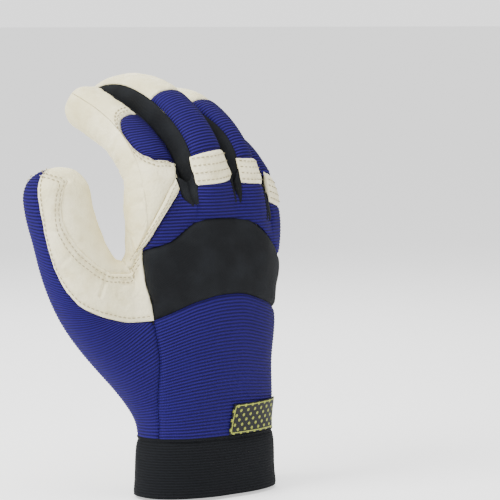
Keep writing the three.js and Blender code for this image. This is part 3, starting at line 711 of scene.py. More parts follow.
# The thumb's knit meets the leather saddle on its first rail and the palm's leather on its last.
THUMB_SIDE = BACK_SEAM + [(T, 0.136, -4), (T, 0.214, 10), (T, 0.3, 33), (T, 0.365, 50), (T, 0.436, 60),
                          (T, 0.536, 69), (T, 0.675, 71), (T, 0.786, 68), (T, 0.9, 66), (T, 0.99, 66)]
THUMB_PALM = [(H, 0.19, 250), (H, 0.29, 249), (H, 0.36, 248), (T, -0.26, 190), (T, -0.15, 194), (T, 0, 200),
              (T, 0.15, 195), (T, 0.3, 187), (T, 0.45, 180), (T, 0.6, 172), (T, 0.75, 160), (T, 0.9, 130),
              (T, 0.985, 100)]
q = patch([
    THUMB_SIDE,
    [(H, 0.19, 184), (H, 0.36, 178), (T, 0, 40), (T, 0.3, 74), (T, 0.45, 92), (T, 0.6, 100), (T, 0.8, 95),
     (T, 0.985, 78)],
    [(H, 0.19, 206), (H, 0.33, 203), (T, -0.1, 100), (T, 0.1, 105), (T, 0.3, 114), (T, 0.45, 124),
     (T, 0.6, 126), (T, 0.8, 115), (T, 0.985, 85)],
    [(H, 0.19, 229), (H, 0.31, 227), (T, -0.2, 150), (T, 0.05, 155), (T, 0.3, 152), (T, 0.45, 152),
     (T, 0.6, 150), (T, 0.8, 132), (T, 0.985, 92)],
    THUMB_PALM,
], (1.2, 0.26))
side = shell(q, knit_height(q, "lrbt"), 1.4, (0.9, 1.3), "lrbt")
add_piece("thumb_side_knit", [side], knit, ["thumb_knit"])

# %% Upper back, in a fan from the knuckle band to the roots of the fingers
feet = [(0.912, 115), (0.925, 105), (0.928, 96), (0.923, 86), (0.912, 77), (0.9, 71), (0.877, 63),
        (0.85, 52), (0.826, 43), (0.8, 33), (0.78, 20), (0.76, -12)]
tops = [(H, 0.974, 111), (M, 0.03, 146), (M, 0.025, 90), (M, 0.03, 36), (H, 0.979, 82), (R, 0.02, 120),
        (R, 0.005, 88), (R, 0.0, 40), (H, 0.911, 51), (L, 0.0, 101), (L, -0.03, 60), (L, -0.03, -20)]
rails = [
    [(H, 0.825, 160), (I, -0.175, 148), (I, -0.092, 121), (I, -0.01, 96), (I, 0.07, 75)],
    [(H, 0.862, 132), (H, 0.94, 122), (I, 0.024, 73)],
]
rails += [[(H, *foot), top] for foot, top in zip(feet, tops)]
q = patch(rails, (0.9, 0.3), straight=True)
q["row"] = q["p"][..., 2]  # a fan's rows would bend, and these ribs lie level
upper = shell(q, knit_height(q, "lrb", 0.5), 1.4, (0.8, 1.2), "lrbt")
add_piece("upper_back_knit", [upper], knit, ["hand_back_knit_upper"])

# %% Backs of the fingers
oval = patch([
    [(I, 0.226, 106), (I, 0.265, 131), (I, 0.321, 145), (I, 0.394, 150), (I, 0.46, 148), (I, 0.51, 134),
     (I, 0.53, 121), (I, 0.544, 96)],
    [(I, 0.224, 88), (I, 0.27, 108), (I, 0.39, 118), (I, 0.49, 112), (I, 0.544, 90)],
    [(I, 0.222, 70), (I, 0.3, 83), (I, 0.4, 90), (I, 0.5, 92), (I, 0.545, 84)],
    [(I, 0.215, 50), (I, 0.24, 58), (I, 0.34, 61), (I, 0.45, 68), (I, 0.55, 79)],
], (0.9, 0.26))
add_piece("index_oval_knit", [shell(oval, knit_height(oval, "lrbt"), 1.3, (0.9, 1.2), "lrbt")], knit,
          ["index_back_knit"])


def finger_back(name, left, right, shares, pitch):
    """Four rails along a finger, from its left edge to its right one. Each edge is a table of
    shares of the finger's length and angles round it."""
    at = np.linspace(*shares, 7)
    a = np.interp(at, *np.array(left).T)
    b = np.interp(at, *np.array(right).T)
    rails = [[(name, s, x) for s, x in zip(at, (1 - t) * a + t * b)] for t in (0, 0.33, 0.67, 1)]
    return patch(rails, pitch)


# Left (L) and right (R) edges of the fingers' backs: share of the finger's length, angle round it.
MIDDLE_L = [(0, 144), (0.25, 141), (0.42, 144), (0.6, 143), (0.85, 132), (1, 130)]
MIDDLE_R = [(0, 40), (0.5, 44), (0.85, 46), (1, 48)]
RING_L = [(0, 122), (0.1, 112), (0.18, 107), (0.26, 108), (0.33, 114), (0.43, 126), (0.6, 142), (0.85, 136),
          (1, 134)]
RING_R = [(0, 46), (0.85, 46), (1, 48)]
LITTLE_L = [(0, 101), (0.12, 92), (0.18, 86), (0.26, 90), (0.5, 112), (0.8, 130), (0.92, 150), (0.98, 150)]
LITTLE_R = [(0, -20), (0.5, -15), (0.8, -18), (1, -20)]
for name, left, right, shares, node in (
    (M, MIDDLE_L, MIDDLE_R, (0.157, 0.505), "middle_back_knit"),
    (R, RING_L, RING_R, (0.132, 0.518), "ring_back_knit"),
    (L, LITTLE_L, LITTLE_R, (0.148, 0.995), "little_back_knit"),
):
    q = finger_back(name, left, right, shares, (0.9, 0.26))
    made = shell(q, knit_height(q, "lrbt", 0.6), 1.3, (0.8, 1.2), "lrbt")
    add_piece(name + "_finger_knit", [made], knit, [node])

# %% [markdown]
# ## Black panels
# The knuckle band is knit over foam, a little proud of its neighbours. The walls between the
# fingers are soft strips sewn between the backs and the fronts. One strip that dips between two
# fingers would be truer to the sewing, but folds over itself where they press together. So each
# wall follows its finger's own tube, and two of them meet in a valley.

# %% Knuckle band
rails = [[(H, 0.592, 158), (H, 0.71, 157), (H, 0.825, 160)]]
rails += [[(H, *a), (H, *b)] for a, b in zip(BAND_LOW[1:], BAND_HIGH[1:])]
q = patch(rails, (0.9, 0.9))
rise = 1 - np.exp(-rim_of(q, "lrbt") / 3) + 0.2 * noise(q["p"], 14, 5)
add_piece("knuckle_band_foam", [shell(q, rise, 1.6, (1.0, 1.2), "lrbt")], foam, ["knuckle_band"])


# %% Walls between the fingers
# How far inside the finger's surface the walls lie, in millimetres, and the size of their grids.
WALL_INSET, WALL_ALONG, WALL_ROUND = -0.35, 90, 36


def on_digit(name, share, around, inset):
    """Grid on a digit's own tube, inset millimetres from its surface, with outward directions."""
    share, around = np.broadcast_arrays(share, around)
    p = digit_point(name, share, around, inset)
    n = unit(digit_point(name, share, around, inset + 1) - p)
    return dict(p=p, n=n, side=reach_along(p, 0), run=reach_along(p, 1))


def finger_wall(name, back, palm, shares):
    """A grid on one finger's own tube, from its back edge round its side to its palm edge."""
    s = np.linspace(*shares, WALL_ALONG)[None]
    a, b = np.interp(s, *np.array(back).T), np.interp(s, *np.array(palm).T)
    t = np.linspace(0, 1, WALL_ROUND)[:, None]
    q = on_digit(name, s, a + (b - a) * t, WALL_INSET)
    return dict(q, row=q["run"].mean(0)[None] + 0 * t)


# Where the walls start at the index finger's back (R), and the edges of the fronts (F).
INDEX_R = [(-0.1, 55), (0.12, 57), (0.24, 58), (0.34, 61), (0.45, 68), (0.55, 79), (0.75, 84), (0.88, 70),
           (0.93, 45), (0.97, 10)]
INDEX_F = [(-0.1, -58), (0.3, -56), (0.8, -50), (0.92, -30), (0.97, 5)]
MIDDLE_LF = [(0, 242), (0.3, 246), (0.6, 249), (0.85, 242), (1, 240)]
MIDDLE_RF = [(0, -52), (0.3, -50), (0.85, -50), (1, -50)]
RING_LF = [(0, 230), (0.85, 228), (1, 230)]
RING_RF = [(0, -62), (0.3, -60), (0.85, -54), (1, -54)]
LITTLE_LF = [(0, 234), (0.3, 234), (0.8, 232), (1, 232)]
# Where two walls run out over the back of the hand: the foot's left edge, valley and right edge.
WALL_FEET = {
    "index_middle": ([(H, 0.965, 114.5), (I, 0.024, 73), (I, 0.124, 79)],
                     [(H, 0.96, 112), (H, 1.0, 113), (H, 1.045, 115)],
                     [(H, 0.965, 109), (M, -0.024, 140), (M, 0.1, 143)]),
    "middle_ring": ([(H, 0.968, 87), (M, -0.013, 48), (M, 0.1, 44)],
                    [(H, 0.963, 84.5), (H, 1.0, 83.5), (H, 1.035, 83)],
                    [(H, 0.968, 82), (R, -0.041, 122), (R, 0.1, 113)]),
    "ring_little": ([(H, 0.903, 62.5), (R, -0.14, 52), (R, 0.0, 47)],
                    [(H, 0.898, 60), (H, 0.935, 58), (H, 0.96, 56)],
                    [(H, 0.903, 57.5), (L, -0.1, 108), (L, 0.05, 100)]),
}
for name, walls in (
    ("index_middle", ((I, INDEX_R, INDEX_F, (-0.12, 0.965)), (M, MIDDLE_L, MIDDLE_LF, (-0.1, 0.995)))),
    ("middle_ring", ((M, MIDDLE_R, MIDDLE_RF, (-0.1, 0.995)), (R, RING_L, RING_LF, (-0.12, 0.995)))),
    ("ring_little", ((R, RING_R, RING_RF, (-0.12, 0.995)), (L, LITTLE_L, LITTLE_LF, (-0.1, 0.995)))),
):
    made = []
    for wall in walls:
        q = finger_wall(*wall)
        made.append(shell(q, 0.15 * noise(q["p"], 6, 8), 1.2, (0.3, 1.0), "lr"))
    q = patch(WALL_FEET[name], (0.4, 0.4))
    middle = q["side"][-1:] / 2
    rise = 0.9 - np.exp(-(((q["side"] - middle) / 0.9) ** 2))
    made.append(shell(q, rise, 1.2, (1.0, 0.8), "lrb"))
    add_piece("finger_wall_" + name, made, foam, ["fourchette_" + name])

# %% [markdown]
# ## Cream leather
# On the real glove one hide runs over the palm, up the front of the thumb and the fingers and
# round the index finger. One grid can't branch like that without pinching, so it is laid in
# several patches that meet on the same smooth skin. They share one noise, so that its waves run on
# from patch to patch, and all are one piece.

# %% Palm
# A fold: the places along it, its depth and its width in millimetres.
PALM_FOLDS = [
    ([(H, 0.74, 200), (H, 0.68, 222), (H, 0.6, 240), (H, 0.47, 256), (H, 0.36, 262)], 1.7, 1.7),
    ([(H, 0.7, 212), (H, 0.6, 228), (H, 0.48, 240)], 1.1, 1.5),
    ([(H, 0.84, 205), (H, 0.83, 230), (H, 0.79, 265), (H, 0.8, 300)], 1.6, 1.7),
    ([(H, 0.9, 240), (H, 0.88, 275), (H, 0.84, 310), (H, 0.83, 335)], 1.3, 1.5),
    ([(H, 0.62, 262), (H, 0.5, 280), (H, 0.34, 290)], 1.0, 1.6),
    ([(H, 0.3, 262), (H, 0.27, 285), (H, 0.29, 315)], 0.9, 1.5),
]
# The edge of the hide on the back of the hand, from the crotch of the thumb up to the index finger.
HEM_LEFT = [(H, 0.787, 175), (I, -0.195, 172), (I, -0.14, 155), (I, -0.084, 139), (I, 0.02, 109),
            (I, 0.124, 82)]
tops = [(H, 0.79, 172), (I, -0.02, 205), (I, -0.02, 250), (I, -0.02, 300), (H, 0.95, 249), (M, 0.0, 244),
        (M, 0.0, 276), (M, 0.0, 308), (H, 0.965, 279), (R, 0.0, 230), (R, 0.0, 265), (R, 0.0, 298),
        (H, 0.915, 309), (L, 0.0, 234), (L, 0.0, 290), (L, 0.0, 345)]
feet = np.linspace(250, 348, len(tops))
middles = np.concatenate([[205, 214, 224, 235], np.linspace(243, 346, len(tops) - 4)])
rails = [[(H, 0.19, 250), (H, 0.36, 247), (H, 0.5, 232), (H, 0.62, 215), (H, 0.73, 190), tops[0]]]
for top, foot, mid in zip(tops[1:], feet[1:], middles[1:]):
    low = foot * 0.75 + mid * 0.25
    rails.append([(H, 0.19, foot), (H, 0.4, low), (H, 0.62, mid), (H, 0.8, mid), top])
q = patch(rails, (1.2, 1.2))
hide = [shell(q, leather_height(q, "br", PALM_FOLDS), 1.5, (0.8, 1.2), "br")]
palm_grid = q

# %% Front of the thumb
THUMB_FOLD = [(H, 0.75, 177), (T, 0.374, -43), (T, 0.425, -24), (T, 0.506, -7), (T, 0.585, 6),
              (T, 0.668, 18), (T, 0.74, 25), (T, 0.821, 21), (T, 0.868, 10), (T, 0.896, -4),
              (T, 0.92, 14), (T, 0.95, 45), (T, 0.99, 66)]
q = patch([
    THUMB_FOLD,
    [(H, 0.71, 198), (T, 0.36, -72), (T, 0.5, -52), (T, 0.7, -30), (T, 0.88, -50), (T, 0.95, -20),
     (T, 0.99, 0)],
    [(H, 0.62, 215), (T, 0.2, -108), (T, 0.35, -106), (T, 0.5, -98), (T, 0.7, -90), (T, 0.9, -96),
     (T, 0.99, -60)],
    [(H, 0.5, 232), (T, 0.05, -135), (T, 0.3, -140), (T, 0.6, -142), (T, 0.9, -145), (T, 0.99, -130)],
    [(H, 0.42, 241), (T, -0.1, -152), (T, 0.1, -155), (T, 0.3, -160), (T, 0.6, -168), (T, 0.9, -195),
     (T, 0.99, -200)],
    THUMB_PALM[2:-1] + [(T, 0.99, 100)],
], (1.0, 1.0))
THUMB_FOLDS = [([(T, 0.62, -60), (T, 0.6, -110), (T, 0.62, -150)], 0.8, 1.5),
               ([(T, 0.35, -95), (T, 0.33, -130), (T, 0.3, -165)], 0.9, 1.7)]
hide.append(shell(q, leather_height(q, "lr", THUMB_FOLDS), 1.5, (0.8, 1.2), "lr"))
thumb_front_grid = q

# %% Index finger: front and side, the part below the knit oval, and the part above it
INDEX_FOLDS = [([(I, 0.24, 160), (I, 0.2, 190), (I, 0.22, 230)], 0.9, 1.2),
               ([(I, 0.43, 160), (I, 0.4, 190), (I, 0.42, 230)], 0.8, 1.1),
               ([(I, 0.1, 150), (I, 0.1, 190), (I, 0.14, 240)], 0.9, 1.3),
               ([(I, 0.72, 165), (I, 0.7, 200), (I, 0.72, 250)], 0.7, 1.1),
               ([(I, 0.33, 200), (I, 0.3, 250), (I, 0.33, 300)], 1.2, 1.6),
               ([(I, 0.6, 195), (I, 0.58, 250), (I, 0.6, 300)], 1.0, 1.5),
               ([(I, 0.02, 165), (I, 0.0, 210), (I, 0.0, 260), (I, 0.03, 300)], 1.2, 1.8)]
side_rails = [[(H, 0.787, 174), (I, -0.12, 155)], [(I, -0.26, 192)], [(I, -0.16, 207)], [(I, -0.1, 240)],
              [(I, -0.08, 272)], [(I, -0.06, 303)]]
angles = [152, 178, 205, 240, 272, 303]
rails = [base + [(I, s, a) for s in (0.2, 0.5, 0.8, 0.985)] for base, a in zip(side_rails, angles)]
q = patch(rails, (1.0, 1.0))
hide.append(shell(q, leather_height(q, "r", INDEX_FOLDS), 1.4, (0.8, 1.2), "r"))

ends = [(I, 0.394, 150), (I, 0.321, 145), (I, 0.265, 131), (I, 0.226, 106), (I, 0.225, 84), (I, 0.215, 58)]
rails = [list(pair) for pair in zip(HEM_LEFT, ends)]
rails[0][1:1] = [(I, -0.06, 152), (I, 0.2, 152)]
q = patch(rails, (0.8, 0.8), straight=True)
index_low_grid = q
hide.append(shell(q, leather_height(q, "brt"), 1.4, (0.8, 1.2), "brt"))

starts = [(I, 0.394, 151), (I, 0.46, 149), (I, 0.51, 135), (I, 0.532, 121), (I, 0.546, 96), (I, 0.556, 79)]
ends = [(I, 0.985, a) for a in (150, 136, 122, 104, 86, 60)]
mids = [(I, 0.75, a) for a in (151, 139, 126, 112, 98, 84)]
q = patch([[a, m, b] for a, m, b in zip(starts, mids, ends)], (0.8, 0.8))
index_tip_grid = q
hide.append(shell(q, leather_height(q, "br"), 1.4, (0.8, 1.2), "br"))

# %% Turned-in hide under the seams
UNDER = -1.3


def underlay(name, low):
    """A digit's own tube a little under its panels, closed at its round tip."""
    s = np.concatenate([np.linspace(low, 0.8, 24), np.linspace(0.8, 1.0, 16)[1:]])[None]
    a = np.linspace(0, 360, 49)[:, None]
    q = on_digit(name, s, a, UNDER)
    return dict(q, side=np.broadcast_to(a * 0.2, q["run"].shape), row=q["run"])


for name, low in ((I, -0.2), (M, 0.05), (R, 0.05), (T, 0.45)):
    q = underlay(name, low)
    hide.append(shell(q, 0 * q["run"], 0.5, (0, 1), ""))
# The web lies under the seams between thumb and index finger, the roots under the fingers' fronts.
web_feet = [(0.88, 148), (0.86, 157), (0.68, 166), (0.68, 176), (0.68, 190), (0.68, 203), (0.68, 216)]
web = patch([[(H, low, a), (H, low * 0.5 + 0.48, a), (H, 0.96, a)] for low, a in web_feet], (1.5, 1.5))
hide.append(shell(web, 0 * web["run"] - 0.4, 1.6, (0, 1), ""))
roots = patch([[(H, 0.84, a), (H, 0.9, a), (H, 0.955, a)] for a in range(205, 346, 10)], (1.5, 1.5))
hide.append(shell(roots, 0 * roots["run"] - 0.7, 1.6, (0, 1), ""))

# %% Fronts of the other fingers
for name, left, right in ((M, MIDDLE_LF, [(0, 308), (0.3, 310), (1, 310)]),
                          (R, RING_LF, [(0, 298), (0.3, 300), (1, 306)]),
                          (L, LITTLE_LF, [(0, 345), (0.5, 345), (0.8, 342), (1, 340)])):
    q = finger_back(name, left, right, (0.0, 0.995), (1.0, 1.0))
    lo, hi = left[0][1], right[0][1]
    bends = []
    for s in (0.04, 0.3, 0.6):
        bends.append(([(name, s, lo), (name, s - 0.02, (lo + hi) / 2), (name, s, hi)], 1.2, 1.5))
    hide.append(shell(q, leather_height(q, "lr", bends), 1.4, (0.8, 1.2), "lr"))
add_piece("palm_and_index_leather", hide, leather, ["palm_leather", "index_wrap_leather"])

# %% [markdown]
# ### Saddle, hem strip, knuckle strips and caps
# These smaller cuts lie over their neighbours. The saddle covers the thumb's back and the fold
# between thumb and hand, where it bunches into creases that fan out below the crotch. The strips
# are turned under at their long edges, so they stand up more than the hide. Each is a patch between
# two or three rails, because a strip that is bent in one direction alone would lift off the knuckles.

# %% Saddle
CROTCH_FOLDS = [
    ([(H, 0.765, 166), (H, 0.73, 160)], 1.3, 0.9),
    ([(H, 0.752, 172), (H, 0.7, 166), (H, 0.66, 163)], 1.7, 0.9),
    ([(H, 0.745, 177), (T, 0.27, -28), (T, 0.2, -18)], 1.9, 1.0),
    ([(T, 0.37, -36), (T, 0.29, -12)], 1.6, 1.0),
    ([(T, 0.42, -18), (T, 0.35, 8)], 1.2, 1.0),
    ([(T, 0.58, 25), (T, 0.55, 50)], 0.7, 1.2),
    ([(T, 0.7, 40), (T, 0.72, 62)], 0.6, 1.2),
]
SADDLE_LEFT = [(H, 0.592, 158)] + THUMB_SIDE[4:]
SADDLE_RIGHT = [(H, 0.822, 161), (H, 0.79, 172), (H, 0.768, 178)] + THUMB_FOLD
q = patch([
    SADDLE_LEFT,
    [(H, 0.7, 158), (T, 0.25, -14), (T, 0.32, 6), (T, 0.43, 30), (T, 0.55, 43), (T, 0.7, 50), (T, 0.82, 48),
     (T, 0.9, 45), (T, 0.99, 66)],
    SADDLE_RIGHT,
], (0.8, 0.8))
saddle_grid = q
rise = leather_height(q, "lrb", CROTCH_FOLDS, puff=0.7, seed=53)
add_piece("thumb_saddle_leather", [shell(q, rise, 1.5, (0.5, 1.0), "lrb")], leather, ["thumb_saddle"])

# %% Hem strip
HEM_RIGHT = [(H, 0.825, 161), (I, -0.175, 150), (I, -0.092, 123), (I, -0.01, 98), (I, 0.07, 77)]
q = patch([HEM_LEFT, HEM_RIGHT], (0.5, 0.8))
hem_grid = q
rise = 0.9 + leather_height(q, "lr", puff=0.4, seed=59) * 0.6
add_piece("hem_strip_leather", [shell(q, rise, 1.2, (0.9, 0.7), "lrbt")], leather, ["hem_strip"])

# %% Knuckle strips
strip_grids = {}
for name, low, high, node in (
    (M, [(0.03, 146), (0.025, 90), (0.03, 34)], [(0.155, 146), (0.155, 90), (0.16, 34)],
     "knuckle_strip_middle"),
    (R, [(0.02, 122), (0.005, 90), (0.0, 36)], [(0.138, 114), (0.127, 84), (0.13, 36)],
     "knuckle_strip_ring"),
    (L, [(0.0, 103), (-0.03, 60), (-0.03, -22)], [(0.168, 85), (0.145, 60), (0.15, -24)],
     "knuckle_strip_little"),
):
    q = patch([[(name, *d) for d in low], [(name, *d) for d in high]], (0.7, 0.7))
    strip_grids[name] = q
    rise = 0.6 + 0.7 * leather_height(q, "lr", puff=0.5, seed=67)
    made = shell(q, rise, 1.2, (0.6, 0.6), "lr")
    add_piece("knuckle_strip_" + name + "_leather", [made], leather, [node])

# %% Tip caps
for name, left, right, shares, node in ((M, MIDDLE_L, MIDDLE_R, (0.503, 0.995), "middle_tip_cap"),
                                        (R, RING_L, RING_R, (0.516, 0.995), "ring_tip_cap")):
    q = finger_back(name, left, right, shares, (0.9, 0.9))
    rise = 0.35 + leather_height(q, "lrb", seed=73)
    add_piece(name + "_cap_leather", [shell(q, rise, 1.4, (0.7, 0.9), "lrb")], leather, [node])

# %% [markdown]
# ## Cuff
# The cuff is a loop of woven elastic with a folded edge at its top. It follows the hand's own
# tube, so one grid goes round it, and the folded edge is a profile carried along a closed line.

# %% Cuff
CUFF_ROUND, CUFF_HIGH, CUFF_WALL = 240, 60, 1.7
a = np.linspace(0, 360, CUFF_ROUND + 1)
z = np.linspace(0, CUFF - 0.2, CUFF_HIGH)
share, around = z[None] / HAND_LENGTH, a[:, None]
# The lower edge flares by half a millimetre, and the seam draws the upper one in.
flare = 0.5 * np.exp(-((z / 6) ** 2)) - 0.9 * np.exp(-(((z - CUFF) / 3.5) ** 2)) + 0.2
p = hand_point(share, around)
n = unit(hand_point(share, around, 1.0) - p)
p = p + n * (flare[None] + 0.25 * noise(p, 12, 9))[..., None]
girth = lengths_of(p[:, CUFF_HIGH // 2])
q = dict(p=p, n=n, side=girth[:, None] + 0 * z, run=z + 0 * a[:, None], row=z + 0 * a[:, None])
cuff = shell(q, 0.12 * np.cos(2 * np.pi * q["row"] / CORD), CUFF_WALL, (0.3, 0.8), "b")
print("the cuff is", girth[-1].round(1), "mm round")


def cord_along(dots, out, width, height, sides=10, closed=False):
    """An oval tube along a line: centre + side * half width * cos + out * height * sin. An open
    tube's ends are closed by faces between its two halves."""
    ahead = np.roll(dots, -1, 0) - np.roll(dots, 1, 0) if closed else np.gradient(dots, axis=0)
    side = unit(np.cross(ahead, out))
    up = unit(np.cross(side, ahead))
    t = np.linspace(0, 2 * np.pi, sides, endpoint=False)[:, None, None]
    ring = dots + side * (width / 2) * np.cos(t) + up * height * np.sin(t)
    n, m = ring.shape[:2]
    at = np.arange(n * m).reshape(n, m)
    at = np.vstack([at, at[:1]])  # the last side meets the first
    if closed:
        at = np.hstack([at, at[:, :1]])
    faces = np.stack([at[:-1, :-1], at[:-1, 1:], at[1:, 1:], at[1:, :-1]], -1).reshape(-1, 4)
    v = ring.reshape(-1, 3)
    if not closed:
        caps = []
        for end, flip in ((0, False), (-1, True)):
            loop = at[:-1, end]
            for k in range(0, n // 2 - 1):
                four = [loop[k], loop[k + 1], loop[n - 2 - k], loop[n - 1 - k]]
                caps.append(four[::-1] if flip else four)
        faces = np.vstack([faces, np.array(caps)])
    from_centre = (ring - dots).reshape(-1, 3)
    normal = np.cross(v[faces[:, 1]] - v[faces[:, 0]], v[faces[:, 2]] - v[faces[:, 0]])
    count = n * (m if closed else m - 1)
    if (normal[:count] * from_centre[faces[:count, 0]]).sum() < 0:
        faces = faces[:, ::-1]
    round_it = np.broadcast_to(t[:, 0] * width / 2, (n, m))
    uv = np.stack([np.broadcast_to(lengths_of(dots), (n, m)), round_it], -1).reshape(-1, 2)
    return dict(v=v, f=faces, uv=uv, rim=np.full(len(v), 3.0))


a = np.linspace(0, 360, CUFF_ROUND, endpoint=False)
top = hand_point((CUFF - 0.6) / HAND_LENGTH, a)
out = unit(hand_point(0.2, a, 1.0) - hand_point(0.2, a))
folded = cord_along(top - out * 0.5, out, 1.5, 0.75, closed=True)
add_piece("elastic_cuff", [cuff, folded], elastic, ["cuff_band"])

# %% [markdown]
# ### Closure tab
# The tab is moulded: a glossy plate with one round end, and a raised, stitched rim. A flat plate
# could be bent round the wrist with a modifier. It is worked out on the cuff's own curve instead,
# so that it lies flush all along: each point is a distance round the wrist and a height.

# %% Closure tab
REACH, TALL, PLATE, WELT = 59.0, 28.4, 2.0, 3.2
TAB_START, TAB_ALONG, TAB_ACROSS = 1.2, 90, 40


def wrist_side(run, z, grow):
    """Points over the palm side of the cuff, z high and run millimetres from its outer side, as
    seen from the palm."""
    a = np.linspace(360, 225, 200)
    line = hand_point(0.1, a, 1.3)
    dist = np.concatenate([[0], np.cumsum(np.abs(np.diff(line[:, 0])))])
    return hand_point(z / HAND_LENGTH, np.interp(run, dist, a), grow)


radius = TALL / 2
half_width = HAND[0, 2] * HAND_WIDTH / 2 + 1.0
far_end = half_width - (HAND_WIDTH / 2 - REACH)
t = np.linspace(0, 1, TAB_ALONG)[:, None]
# Rows get closer towards the round end. Half the tab's height there is that of a circle.
run = TAB_START + (far_end - TAB_START) * (1 - (1 - t) ** 1.6)
lift = np.sqrt(np.clip(radius**2 - np.clip(run - (far_end - radius), 0, None) ** 2, 0.02, None))
z = CUFF / 2 + lift * np.linspace(-1, 1, TAB_ACROSS)[None]
run = run + 0 * z
p = wrist_side(run, z, 0.5)
n = unit(wrist_side(run, z, 1.5) - p)
q = dict(p=p, n=n, side=run, run=z - z.min(), row=z)
rim = np.minimum(lift - np.abs(z - CUFF / 2), far_end - run)
plate = shell(q, PLATE - 0.9 * np.exp(-np.clip(rim, 0, None) / 0.8), 0.2, (0.0, 1.0), "")
add_piece("closure_tab", [plate], vinyl, ["wrist_strap"])

# %% The tab's rim: out along its lower edge, round its end, and back along its upper edge
RIM_START, RIM_DOTS = 1.4, 50
corner = np.linspace(-np.pi / 2, np.pi / 2, RIM_DOTS)
inner = radius - (WELT / 2 + 0.1)
bend = far_end - radius
line_run = np.concatenate([np.linspace(RIM_START, bend, RIM_DOTS)[:-1], bend + inner * np.cos(corner),
                           np.linspace(bend, RIM_START, RIM_DOTS)[1:]])
line_z = np.concatenate([np.full(RIM_DOTS - 1, CUFF / 2 - inner), CUFF / 2 + inner * np.sin(corner),
                         np.full(RIM_DOTS - 1, CUFF / 2 + inner)])
dots = wrist_side(line_run, line_z, 0.5 + PLATE)
out = unit(wrist_side(line_run, line_z, 4.0) - dots)
welt = cord_along(dots, out, WELT, 1.1, 12)
add_piece("tab_rim", [welt], vinyl, ["strap_welt"])

# %% [markdown]
# ### Label
# The label is a small woven rectangle that stands on the cuff's seam and leans a little. It is
# laid over the back of the hand by its width, so that it keeps its size where the hand curves.

# %% Label
t, w = np.linspace(0, 1, 60)[:, None], np.linspace(0, 1, 40)[None]
LABEL_W, LABEL_H = 31.0, 14.5
x = -0.03 * HAND_WIDTH + LABEL_W * t + 0.12 * LABEL_W * w
z = CUFF + 0.3 + LABEL_H * w + 0 * t
a = np.linspace(175, 5, 300)
ring_x = hand_point(0.24, a)[:, 0]
around = np.interp(x, ring_x, a)
p = hand_point(z / HAND_LENGTH, around, 0.5)
n = unit(hand_point(z / HAND_LENGTH, around, 1.5) - p)
q = dict(p=p, n=n, side=LABEL_W * t + 0 * w, run=LABEL_H * w + 0 * t, row=LABEL_H * w + 0 * t)
rise = 1.2 + 0.5 * w**2 + 0.25 * noise(p, 9, 4)
add_piece("woven_label", [shell(q, rise, -0.6, (0.25, 0.5), "lrbt")], label, ["woven_tag"])

# %% [markdown]
# ## Stitches
# A machine stitch is a short bump of thread between two holes. A dashed line in the finish would
# do from far away, but has no shadow. A row of them follows a panel's edge at a steady distance,
# so each row is found on the panel's own grid. A capsule has few faces, as there are hundreds.

# %% Rows of stitches
# A capsule's rings: place along the stitch, thickness, and height, as shares of its size.
STATION = np.array([-0.5, -0.36, -0.14, 0.14, 0.36, 0.5])
FAT = np.array([0.25, 0.85, 1.0, 1.0, 0.85, 0.25])
RISE = np.array([-0.45, -0.05, 0.12, 0.12, -0.05, -0.45])
RINGS, SIDES = 6, 5
CORNERS = RINGS * SIDES
# A ring of five is closed by a four-sided and a three-sided face.
SQUARE_CAPS = np.array([[0, 3, 2, 1], [25, 27, 28, 29]])
THREE_CAPS = np.array([[0, 4, 3], [25, 26, 27]])


def row_at(q, side, gap, start=0.0, stop=1.0, lift=0.5):
    """A line at gap millimetres from a panel's side l or r, b or t, with its outward directions."""
    p, n = q["p"], q["n"]
    if side in "bt":
        p, n = np.swapaxes(p, 0, 1), np.swapaxes(n, 0, 1)
        reach = q["run"].T
    else:
        reach = q["side"]
    if side in "rt":
        p, n, reach = p[::-1], n[::-1], reach[-1:] - reach[::-1]
    m = p.shape[1]
    dots = np.empty((m, 3))
    outs = np.empty((m, 3))
    for k in range(m):
        for c in range(3):
            dots[k, c] = np.interp(gap, reach[:, k], p[:, k, c])
            outs[k, c] = np.interp(gap, reach[:, k], n[:, k, c])
    a, b = int(start * (m - 1)), int(stop * (m - 1)) + 1
    return dots[a:b] + outs[a:b] * lift, outs[a:b]


def stitch_row(dots, outs, pitch=2.4, long=1.7, thick=0.5):
    """Small capsules along a line: rings of five at six stations, sunk at both ends. A ring is
    centre + (across * cos + outward * sin) * half the thickness."""
    run = lengths_of(dots)
    starts = np.arange(pitch / 2, run[-1] - pitch / 2, pitch)
    at = starts[:, None] + STATION * long
    c = np.stack([np.interp(at, run, dots[:, k]) for k in range(3)], -1)
    o = unit(np.stack([np.interp(at, run, outs[:, k]) for k in range(3)], -1))
    ahead = unit(np.gradient(c, axis=1))
    across = unit(np.cross(ahead, o))
    c = c + o * (RISE * thick)[None, :, None]
    t = np.linspace(0, 2 * np.pi, SIDES, endpoint=False)
    turned = across[:, :, None] * np.cos(t)[:, None] + o[:, :, None] * np.sin(t)[:, None]
    ring = c[:, :, None] + turned * (thick / 2 * FAT)[None, :, None, None]
    at = np.arange(CORNERS).reshape(RINGS, SIDES)
    nxt = np.roll(at, -1, 1)
    tube = np.stack([at[:-1], nxt[:-1], nxt[1:], at[1:]], -1).reshape(-1, 4)
    first = CORNERS * np.arange(len(starts))[:, None, None]
    faces = (np.vstack([tube, SQUARE_CAPS])[None] + first).reshape(-1, 4)
    tris = (THREE_CAPS[None] + first).reshape(-1, 3)
    return ring.reshape(-1, 3), faces, tris


